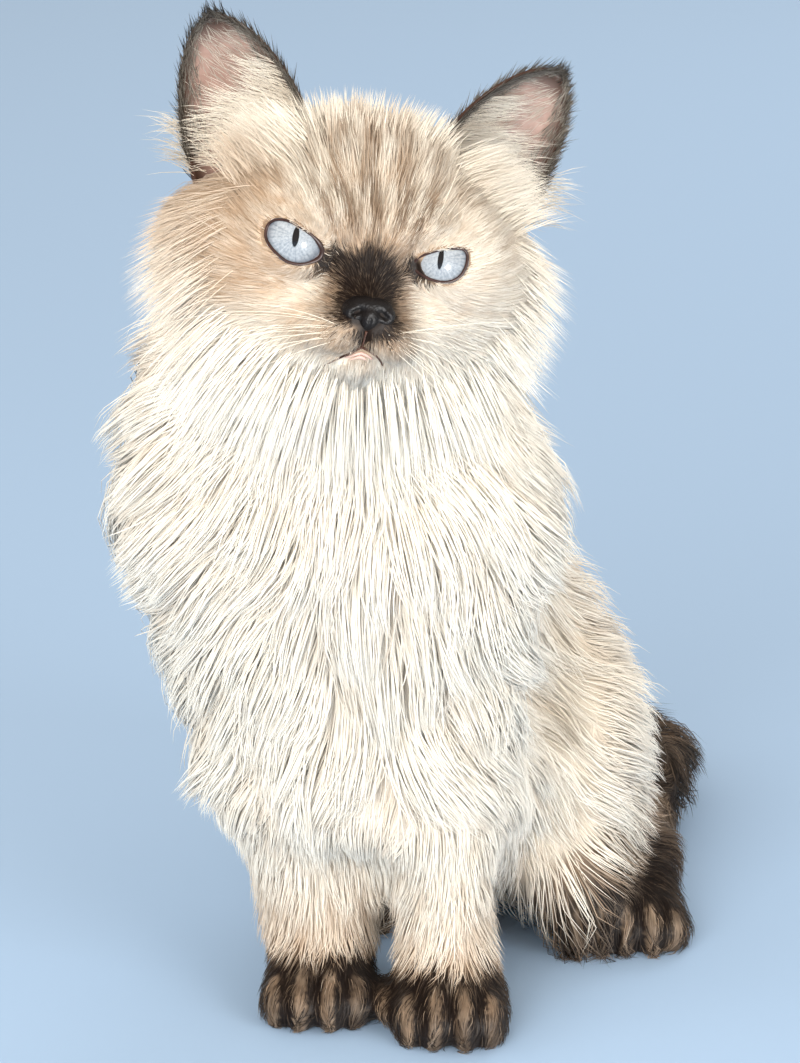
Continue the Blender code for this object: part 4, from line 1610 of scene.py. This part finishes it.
@dataclass
class Nose:
    """The nose leather, its nostrils, and the dark line that runs from it to the lips: dark lip skin with
    painted groove shade.
    """

    voxel: float = 0.45 * MM
    nostril: tuple[float, float, float] = (4.6, -19.4, -18.9)
    masses: tuple[tuple[tuple[float, float, float], tuple[float, float, float]], ...] = (
        ((0.0, -14.8, -16.6), (7.4, 5.0, 3.2)),
        ((0.0, -16.0, -19.8), (3.6, 4.8, 4.3)),
        ((5.0, -15.0, -18.9), (3.7, 4.7, 3.5)),
        ((-5.0, -15.0, -18.9), (3.7, 4.7, 3.5)),
        ((0.0, -15.0, -22.2), (1.6, 4.2, 2.6)),
    )

    def leather(self) -> bpy.types.Object:
        """The leather, fused from a few masses, with its nostrils pressed in."""
        bm = bmesh.new()
        for centre, radii in self.masses:
            place = Matrix.Translation(Vector(centre) * MM) @ Matrix.Diagonal((*(r * MM for r in radii), 1.0))
            bmesh.ops.create_uvsphere(bm, u_segments=32, v_segments=20, radius=1.0, matrix=HEAD @ place)
        piece = link_piece("nose_leather", mesh_from("nose_leather", bm))
        fuse(piece, self.voxel, 5)
        for vert in piece.data.vertices:
            head = to_head(np.array([vert.co]))[0]
            out = head - np.array(self.nostril) * np.array([np.sign(head[0]) or 1.0, 1.0, 1.0])
            out[1] *= 0.4
            slant = out[0] * np.sign(head[0]) * 0.45 + out[2]
            pit = math.exp(-((out[0] / 1.9) ** 2 + (slant / 1.1) ** 2 + (out[1] / 3.0) ** 2))
            groove = math.exp(-((head[0] / 0.5) ** 2)) * float(ease(-18.0, -21.0, head[2])) * (head[1] < -14)
            head[1] += 2.0 * pit + 0.8 * groove
            vert.co = from_head(head)
        piece.data.shade_smooth()
        return piece

    def build(self, skin: Skin) -> None:
        """The leather and the lip line."""
        leather = WetFinish("nose_leather_moist", "#140e0e", "#060404", roughness=0.55, coat=0.0, bump=1.0)
        finish_piece(self.leather(), leather.material(), Slot.NOSE, "nose")
        # The lip line is dark lip skin, and partly painted shade: along the groove from the nose and in the
        # parting of the lips it stands in for shadow.
        dark = WetFinish("lip_margin_and_groove_shade", "#6a4739", "#3a241c", roughness=0.6, coat=0.0, bump=0.2)
        pink = WetFinish("lip_bare_pink", "#dcbcae", "#cda799", roughness=0.6, coat=0.05, bump=0.2)
        dark, pink = dark.material(), pink.material()
        side_radii = (0.4, 0.38, 0.3, 0.12)
        lines = []
        for line, radii in zip(LIP_LINES, ((0.45, 0.3, 0.35), side_radii, side_radii)):
            lines.append((tuple((x, -22.0, z) for x, z in line), radii))
        finish_piece(self.lines_on("lip_line", lines, skin), dark, Slot.NOSE)
        lip = [
            (((-4.4, -22.0, -33.9), (0.0, -22.0, -31.7), (4.2, -22.0, -33.2)), (0.2, 0.6, 0.2)),
            (((-3.0, -22.0, -34.4), (0.0, -22.0, -32.9), (3.0, -22.0, -34.0)), (0.2, 0.6, 0.2)),
        ]
        finish_piece(self.lines_on("lip_lower", lip, skin), pink, Slot.NOSE)

    def lines_on(self, name: str, lines: list, skin: Skin) -> bpy.types.Object:
        """Thin tubes laid on the skin behind lines in the head's frame."""
        laid = []
        forward = HEAD_AXES @ np.array([0.0, 1.0, 0.0])
        for points, radii in lines:
            fine = resample(np.array(points, float), 14)
            fine_radii = np.interp(np.linspace(0, 1, 14), np.linspace(0, 1, len(radii)), radii)
            spots = []
            for point in from_head(fine):
                hit = skin.surface.tree.ray_cast(Vector(point - forward * 0.02), Vector(forward))
                spots.append(np.array(hit[0]) - forward * 0.5 * MM if hit[0] is not None else point)
            laid.append((np.array(spots), fine_radii * MM))
        return tube(name, laid, 2)


def resample(points: np.ndarray, count: int) -> np.ndarray:
    """A smooth open line of so many points through the given ones."""
    spans = len(points) - 1
    places = np.linspace(0.0, spans - 1e-6, count)
    first = places.astype(int)
    t = (places - first)[:, None]
    p0, p1 = points[np.maximum(first - 1, 0)], points[first]
    p2, p3 = points[first + 1], points[np.minimum(first + 2, spans)]
    return between(p0, p1, p2, p3, t)


@dataclass(frozen=True)
class EarFinish:
    """Thin bare ear skin: mottled pinkish grey in the cup, seal brown at its rim and on its back."""

    name: str = "ear_skin_thin"
    shadow: str = "#7f6157"
    pink: str = "#bd9f93"
    rim: str = "#49332a"
    vein_scale: float = 260.0
    roughness: float = 0.6
    specular: float = 0.3

    def material(self) -> bpy.types.Material:
        """The finish as a node material."""
        material, tree, output = new_material(self.name)
        marks = add_node(tree, "ShaderNodeAttribute", attribute_name=MARKS)
        parts = add_node(tree, "ShaderNodeSeparateColor", {0: marks.outputs["Color"]})
        place = add_node(tree, "ShaderNodeTexCoord").outputs["Object"]
        mottled = mix(tree, noise(tree, place, self.vein_scale, 4.0), self.shadow, self.pink)
        colour = mix(tree, parts.outputs["Red"], mottled, self.rim)
        shade(tree, output, colour, self.roughness, {"Specular IOR Level": self.specular})
        return material


@dataclass
class Ear:
    """One ear: an open cup on the solid's own curve, its fine hair, and the long hair at its base."""

    word: str
    side: float
    height: float = 43.0
    half_width: float = 19.5
    wall: float = 1.5
    curl: float = math.radians(68.0)
    below: float = 9.0
    grid: int = 44
    root: tuple[float, float, float] = (5.0, 42.0, 23.0)
    root_out: float = 40.0
    splay: float = math.radians(25.0)
    open_out: float = math.radians(14.0)
    lean: float = math.radians(-6.0)

    def place(self) -> Matrix:
        """The matrix that sets the ear on the head."""
        x, y, z = self.root
        return (
            HEAD
            @ Matrix.Translation(Vector((self.side * self.root_out + x, y, z)) * MM)
            @ Matrix.Rotation(self.side * self.splay, 4, "Y")
            @ Matrix.Rotation(self.lean, 4, "X")
            @ Matrix.Rotation(self.side * self.open_out, 4, "Z")
        )

    def on_cup(self, across: np.ndarray, rise: np.ndarray, out: float | np.ndarray = 0.0) -> np.ndarray:
        """Places on the cup.

        Args:
            across: From -1 at one edge to 1 at the other.
            rise: From 0 at the base to 1 at the tip, and below 0 under the fur.
            out: How far in front of the cup's skin, in millimetres.

        Returns:
            World points.
        """
        bend = across * self.curl
        half = self.half_width * (1.0 - np.clip(rise, 0.0, 1.0) ** 1.9) ** 0.62 + 1.0
        cup = 0.75 * half * (1.0 - 0.25 * rise)
        local = np.stack(
            [half * np.sin(bend) / math.sin(self.curl), cup * np.cos(bend) - out, rise * self.height], axis=-1
        )
        matrix = np.array(self.place())
        return local * MM @ matrix[:3, :3].T + matrix[:3, 3]

    def shell(self) -> bpy.types.Object:
        """The thin ear itself."""
        bm = bmesh.new()
        bmesh.ops.create_grid(bm, x_segments=self.grid, y_segments=self.grid, size=1.0)
        flat = coordinates(bm.verts)
        start = -self.below / self.height
        rise = start + (flat[:, 1] + 1.0) / 2 * (1.0 - start)
        for vert, place in zip(bm.verts, self.on_cup(flat[:, 0], rise)):
            vert.co = place
        bmesh.ops.remove_doubles(bm, verts=bm.verts, dist=1e-5)
        name = "ear_shell_" + self.word
        piece = link_piece(name, mesh_from(name, bm))
        seal = np.maximum(ease(0.58, 0.96, np.abs(flat[:, 0])), ease(0.76, 0.97, rise))
        piece.data.shade_smooth()
        wall = piece.modifiers.new("wall", "SOLIDIFY")
        wall.thickness = self.wall * MM
        wall.offset = 0.0
        apply_modifiers(piece)
        points = coordinates(piece.data.vertices)
        normals = np.array([vert.normal for vert in piece.data.vertices])
        matrix = np.array(self.place())
        forward = -matrix[:3, 1]
        back = (normals @ forward) < 0.0
        seal = seal[nearest_of(self.on_cup(flat[:, 0], rise), points)]
        seal = np.where(back, 1.0, seal)
        count = len(points)
        write_marks(piece.data, seal, np.full(count, 0.4), np.full(count, 0.3), np.full(count, 0.5))
        return piece

    def fringe(self, batch: "EarHair", rng: np.random.Generator) -> tuple[np.ndarray, ...]:
        """One batch of ear hair, as paths, outward directions, seal shares and widths."""
        count = batch.count
        across = rng.uniform(*batch.across, count) * (-self.side if batch.one_side else 1.0)
        if batch.both_edges:
            across = across * np.where(rng.random(count) < 0.5, -1.0, 1.0)
        rise = rng.uniform(*batch.rise, count)
        matrix = np.array(self.place())
        face = 1.0 if batch.in_cup else -1.0
        start = self.on_cup(across, rise, face * 0.5 * self.wall)
        small = 0.01
        along = unit(self.on_cup(across, rise + small) - self.on_cup(across, rise - small))
        side = unit(self.on_cup(across + small, rise) - self.on_cup(across - small, rise))
        out = face * unit(np.cross(along, side))
        out = out * np.sign((out * (face * -matrix[:3, 1])).sum(1, keepdims=True))
        edge = np.sign(across)[:, None] * side
        sweep = self.side * matrix[:3, 0]
        up, outward, lift, swept = batch.direction
        stray = 0.16 * rng.normal(size=(count, 3))
        way = unit(along * up + edge * outward + out * lift + sweep * swept + stray)
        reach = rng.uniform(*batch.length, count) * MM
        line = []
        for share in np.linspace(0.0, 1.0, batch.segments + 1):
            sag = np.array([0.0, 0.0, -batch.sag * share**2])
            line.append(start + (way * share + sag) * reach[:, None])
        seal = np.clip(batch.seal + rng.normal(0.0, 0.08, count), 0.0, 1.0)
        paths = np.stack(line, axis=1)
        outs = np.repeat(out[:, None], batch.segments + 1, axis=1)
        return paths, outs, seal, np.full(count, batch.width)

    def hair(self, name: str, batches: tuple["EarHair", ...], rng: np.random.Generator) -> bpy.types.Object:
        """Joins batches of ear hair in a piece, each tuft on its own small patch of an ear's unwrap."""
        paths, outs, seal, widths = (np.concatenate(v) for v in zip(*(self.fringe(b, rng) for b in batches)))
        count = len(paths)
        local = (paths[:, 0] - paths[:, 0].min(0)) / np.ptp(paths[:, 0], axis=0).max()
        unwrap = 0.05 + 0.4 * local[:, [0, 2]] + np.where(seal > 0.5, 0.5, 0.0)[:, None]
        fawn = np.clip(0.18 + rng.normal(0, 0.10, count), 0.0, 1.0)
        return strand_mesh(name, paths, outs, widths * MM, unwrap, (seal, fawn, rng.random(count)))

    def build(self, hair: bpy.types.Material) -> None:
        """The shell and its hair."""
        rng = np.random.default_rng([SEED, 7 if self.side > 0 else 8])
        finish_piece(self.shell(), EarFinish().material(), Slot.SEAL, "ear_" + self.word)
        finish_piece(self.hair("ear_hair_" + self.word, SHORT_EAR_HAIR, rng), hair, Slot.SEAL)
        finish_piece(self.hair("ear_furnishing_" + self.word, LONG_EAR_HAIR, rng), hair, Slot.CREAM)


@dataclass(frozen=True)
class EarHair:
    """A batch of ear hair: how much, where it roots on the cup, and which way and how far it grows.

    Direction is how much it points up the ear, out past its edge, away from its skin, and away from
    the head's middle. Lengths and widths are in millimetres.
    """

    count: int
    across: tuple[float, float]
    rise: tuple[float, float]
    direction: tuple[float, float, float, float]
    length: tuple[float, float]
    seal: float
    width: float
    segments: int = 2
    in_cup: bool = True
    both_edges: bool = False
    one_side: bool = False
    sag: float = 0.0


SHORT_EAR_HAIR = (
    EarHair(1500, (-1.0, 1.0), (-0.20, 0.98), (1.0, 0.15, 0.22, 0.0), (4.5, 9.0), 0.85, 0.44, in_cup=False),
    EarHair(1200, (0.86, 1.0), (0.0, 0.99), (0.9, 0.65, 0.35, 0.0), (3.5, 8.0), 0.86, 0.26, both_edges=True),
    EarHair(260, (-0.9, 0.9), (0.93, 1.0), (1.0, 0.4, 0.20, 0.0), (3.0, 7.0), 0.90, 0.28),
    EarHair(650, (0.52, 0.90), (0.0, 0.94), (0.9, 0.20, 0.30, 0.0), (3.5, 7.0), 0.78, 0.25, both_edges=True),
    EarHair(550, (-0.75, 0.75), (0.0, 0.85), (0.8, 0.0, 0.25, 0.4), (4.0, 8.0), 0.45, 0.18),
)
LONG_EAR_HAIR = (
    EarHair(520, (0.0, 1.0), (-0.15, 0.24), (0.95, 0.0, 0.50, 0.7), (14.0, 27.0), 0.02, 0.30, 3,
            one_side=True, sag=0.12),
    EarHair(300, (-1.0, 0.1), (-0.12, 0.30), (0.60, 0.0, 0.60, 0.9), (9.0, 21.0), 0.02, 0.28, 3,
            one_side=True, sag=0.20),
    EarHair(260, (0.3, 1.0), (0.15, 0.55), (1.0, 0.0, 0.35, 0.5), (9.0, 16.0), 0.08, 0.22, 3,
            one_side=True, sag=0.1),
)


@dataclass(frozen=True)
class Fringe:
    """Long hair that stands off the head: by the ears, between them, on the cheeks or under the jaw.

    Places are in the head's frame and in millimetres: roots fall in the box between low and high, and
    fan out from the way by the spread.
    """

    name: str
    count: int
    low: tuple[float, float, float]
    high: tuple[float, float, float]
    way: tuple[float, float, float]
    fan: float
    length: tuple[float, float]
    width: float = 0.34
    sag: float = 0.18
    segments: int = 3
    locks: int = 24

    def build(self, skin: Skin, hair: bpy.types.Material) -> bpy.types.Object:
        """The fringe, rooted on the skin."""
        rng = np.random.default_rng([SEED, sum(map(ord, self.name))])
        low, high = np.array(self.low), np.array(self.high)
        spread = rng.random((self.count, 3))
        faces, shares = skin.surface.nearest(from_head(low + (high - low) * spread))
        roots = skin.surface.at(faces, shares, skin.surface.points)
        out = unit(skin.surface.at(faces, shares, skin.surface.normals))
        fanned = np.array(self.way) + np.array([self.fan, 0.0, 0.0]) * (spread[:, :1] - 0.5)
        locks = unit(rng.normal(size=(self.locks, 3)))
        member = (spread[:, 0] * self.locks).astype(int)
        fanned = fanned + 0.09 * rng.normal(size=fanned.shape) + 0.16 * locks[member]
        way = unit(fanned @ HEAD_AXES.T + 0.35 * out)
        reach = rng.uniform(*self.length, self.count) * MM
        line = []
        for share in np.linspace(0.0, 1.0, self.segments + 1):
            bent = way * share + np.array([0.0, 0.0, -1.0]) * (self.sag * share**2)
            line.append(roots - out * 0.4 * MM + bent * reach[:, None])
        paths = np.stack(line, axis=1)
        lit = unit(out + HEAD_AXES @ np.array([0.0, -0.9, 0.35]))
        outs = np.repeat(lit[:, None], self.segments + 1, axis=1)
        unwrap = skin.surface.unwrap_at(faces, shares)
        seal, fawn = markings(roots)
        fawn = np.clip(fawn * 0.8 + rng.normal(0.0, 0.08, self.count), 0.0, 1.0)
        widths = self.width * MM * rng.uniform(0.75, 1.2, self.count)
        piece = strand_mesh(
            self.name, paths, outs, widths, unwrap, (seal, fawn, rng.random(self.count))
        )
        return finish_piece(piece, hair, Slot.CREAM)


FRINGES = (
    Fringe("fringe_ear_left", 1000, (27.0, 10.0, 14.0), (56.0, 34.0, 36.0), (0.75, -0.10, 0.62), -0.5,
           (14.0, 26.0)),
    Fringe("fringe_ear_right", 1000, (-46.0, 10.0, 14.0), (-19.0, 34.0, 38.0), (-0.75, -0.10, 0.62), -0.5,
           (14.0, 26.0)),
    Fringe("fringe_crown", 900, (-24.0, 12.0, 36.0), (30.0, 40.0, 54.0), (0.0, 0.05, 1.0), 0.9, (10.0, 19.0)),
    Fringe("fringe_cheek_left", 1100, (40.0, 6.0, -32.0), (66.0, 40.0, 16.0), (0.8, -0.10, -0.55), 0.0,
           (11.0, 22.0)),
    Fringe("fringe_cheek_right", 1100, (-62.0, 6.0, -32.0), (-36.0, 40.0, 16.0), (-0.8, -0.10, -0.55), 0.0,
           (11.0, 22.0)),
    Fringe("fringe_jaw", 2300, (-50.0, -6.0, -60.0), (54.0, 36.0, -34.0), (0.0, 0.10, -0.80), 1.7,
           (14.0, 30.0), 0.62, 0.30),
)


@dataclass
class Whiskers:
    """Stiff white whiskers on the muzzle pads, and a few over each eye."""

    rows: int = 3
    in_row: int = 4
    root_radius: float = 0.075
    steps: int = 12

    def line(
        self, start: np.ndarray, direction: np.ndarray, length: float, droop: float
    ) -> tuple[np.ndarray, np.ndarray]:
        """One whisker's points and radii."""
        share = np.linspace(0.0, 1.0, self.steps)
        away = unit(direction)[None, :] * (share * length)[:, None]
        sag = np.array([0.0, 0.10, -1.0])[None, :] * (droop * length * share**2)[:, None]
        points = from_head(start[None, :] + away + sag)
        return points, (self.root_radius * (1.0 - share) ** 0.7 + 0.02) * MM

    def build(self, skin: Skin) -> None:
        """All the whiskers."""
        rng = np.random.default_rng([SEED, 99])
        lines = []
        for side in (-1.0, 1.0):
            for row in range(self.rows):
                for place in range(self.in_row):
                    start = np.array(
                        [side * (7.0 + 2.3 * place), -20.0 + 1.6 * place, -24.0 - 1.9 * row + 0.3 * place]
                    )
                    faces, shares = skin.surface.nearest(from_head(start)[None])
                    start = to_head(skin.surface.at(faces, shares, skin.surface.points))[0]
                    back = 0.15 + 0.12 * place + rng.normal(0, 0.1)
                    up = 0.12 - 0.28 * row + rng.normal(0, 0.14)
                    direction = np.array([side, back, up])
                    length = rng.uniform(38.0, 66.0) * (0.75 + 0.1 * place)
                    lines.append(self.line(start, direction, length, rng.uniform(0.10, 0.35)))
            for place in range(3):
                start = np.array([side * (19.0 + 2.0 * place), -7.0, 13.0])
                direction = np.array([side * (0.2 + 0.25 * place), -0.1 + rng.normal(0, 0.1), 0.9])
                points, radii = self.line(start, direction, rng.uniform(18.0, 28.0), 0.12)
                lines.append((points, radii * 0.6))
        piece = tube("whiskers", lines, 1)
        count = len(piece.data.vertices)
        write_marks(piece.data, np.zeros(count), np.zeros(count), np.ones(count), np.ones(count))
        finish = HairFinish(name="whisker_keratin_white", cream="#f7ecd9", roughness=0.4, sheen=0.0)
        finish_piece(piece, finish.material(), Slot.CREAM)


@dataclass(frozen=True)
class Softbox:
    """A soft studio light: where it stands in metres, its size, its power and its tint.

    One that shows is seen in reflections, and adds no diffuse light.
    """

    name: str
    place: tuple[float, float, float]
    size: float
    power: float
    tint: tuple[float, float, float] = (1.0, 1.0, 1.0)
    shows: bool = False

    def build(self, aim: Vector) -> None:
        """Adds the light, turned towards a point."""
        light = bpy.data.lights.new(self.name, "AREA")
        light.shape = "DISK"
        light.size = self.size
        light.energy = self.power
        light.color = self.tint
        lamp = bpy.data.objects.new(self.name, light)
        lamp.location = self.place
        lamp.rotation_mode = "QUATERNION"
        lamp.rotation_quaternion = (aim - Vector(self.place)).to_track_quat("-Z", "Y")
        lamp.visible_glossy = self.shows
        lamp.visible_diffuse = not self.shows
        bpy.context.scene.collection.objects.link(lamp)


@dataclass
class Studio:
    """A plain pale floor, soft light from the front, both sides and behind, and a glint for the eyes."""

    floor_size: float = 60.0
    boxes: tuple[Softbox, ...] = (
        Softbox("key", (-0.25, -1.9, 0.80), 1.3, 38.0, (1.0, 0.98, 0.94)),
        Softbox("fill", (1.6, -1.2, 0.8), 1.2, 21.0, (1.0, 0.98, 0.95)),
        Softbox("side", (-1.6, -0.9, 1.1), 1.2, 6.0, (1.0, 0.98, 0.95)),
        Softbox("back", (0.6, 1.8, 1.5), 1.2, 14.0),
        Softbox("catch", (0.41, -0.58, 0.08), 0.17, 13.0, (1.0, 0.98, 0.95), shows=True),
    )
    world: str = "#fff7ec"
    world_strength: float = 0.80
    bounces: int = 7

    def build(self) -> None:
        """Adds the floor, the lights and the surrounding light."""
        bm = bmesh.new()
        bmesh.ops.create_grid(bm, x_segments=2, y_segments=2, size=self.floor_size / 2)
        floor = link_piece("studio_floor", mesh_from("studio_floor", bm))
        floor.data.materials.append(StudioFinish().material())
        for box in self.boxes:
            box.build(Vector((0.0, 0.0, 0.17)))
        world = bpy.data.worlds.new("studio")
        world.use_nodes = True
        background = world.node_tree.nodes["Background"]
        background.inputs["Color"].default_value = linear(self.world)
        background.inputs["Strength"].default_value = self.world_strength
        bpy.context.scene.world = world
        bpy.context.scene.cycles.diffuse_bounces = self.bounces
        bpy.context.scene.view_settings.view_transform = "Standard"


def main() -> None:
    """Builds the cat and its studio."""
    logging.basicConfig(level=logging.INFO, format="%(name)s %(message)s")
    Camera().build()
    Studio().build()
    skin = Skin()
    skin.build()
    Eyes().build()
    Nose().build(skin)
    # Ear hair and fringes take a lighter painted root shade.
    hair = HairFinish(name="ear_hair_keratin", root_shade_share=0.25).material()
    for word, side in (("left", 1.0), ("right", -1.0)):
        Ear(word, side).build(hair)
    for fringe in FRINGES:
        fringe.build(skin, hair)
    Whiskers().build(skin)
    Coat(skin).build()


if __name__ == "__main__":
    main()
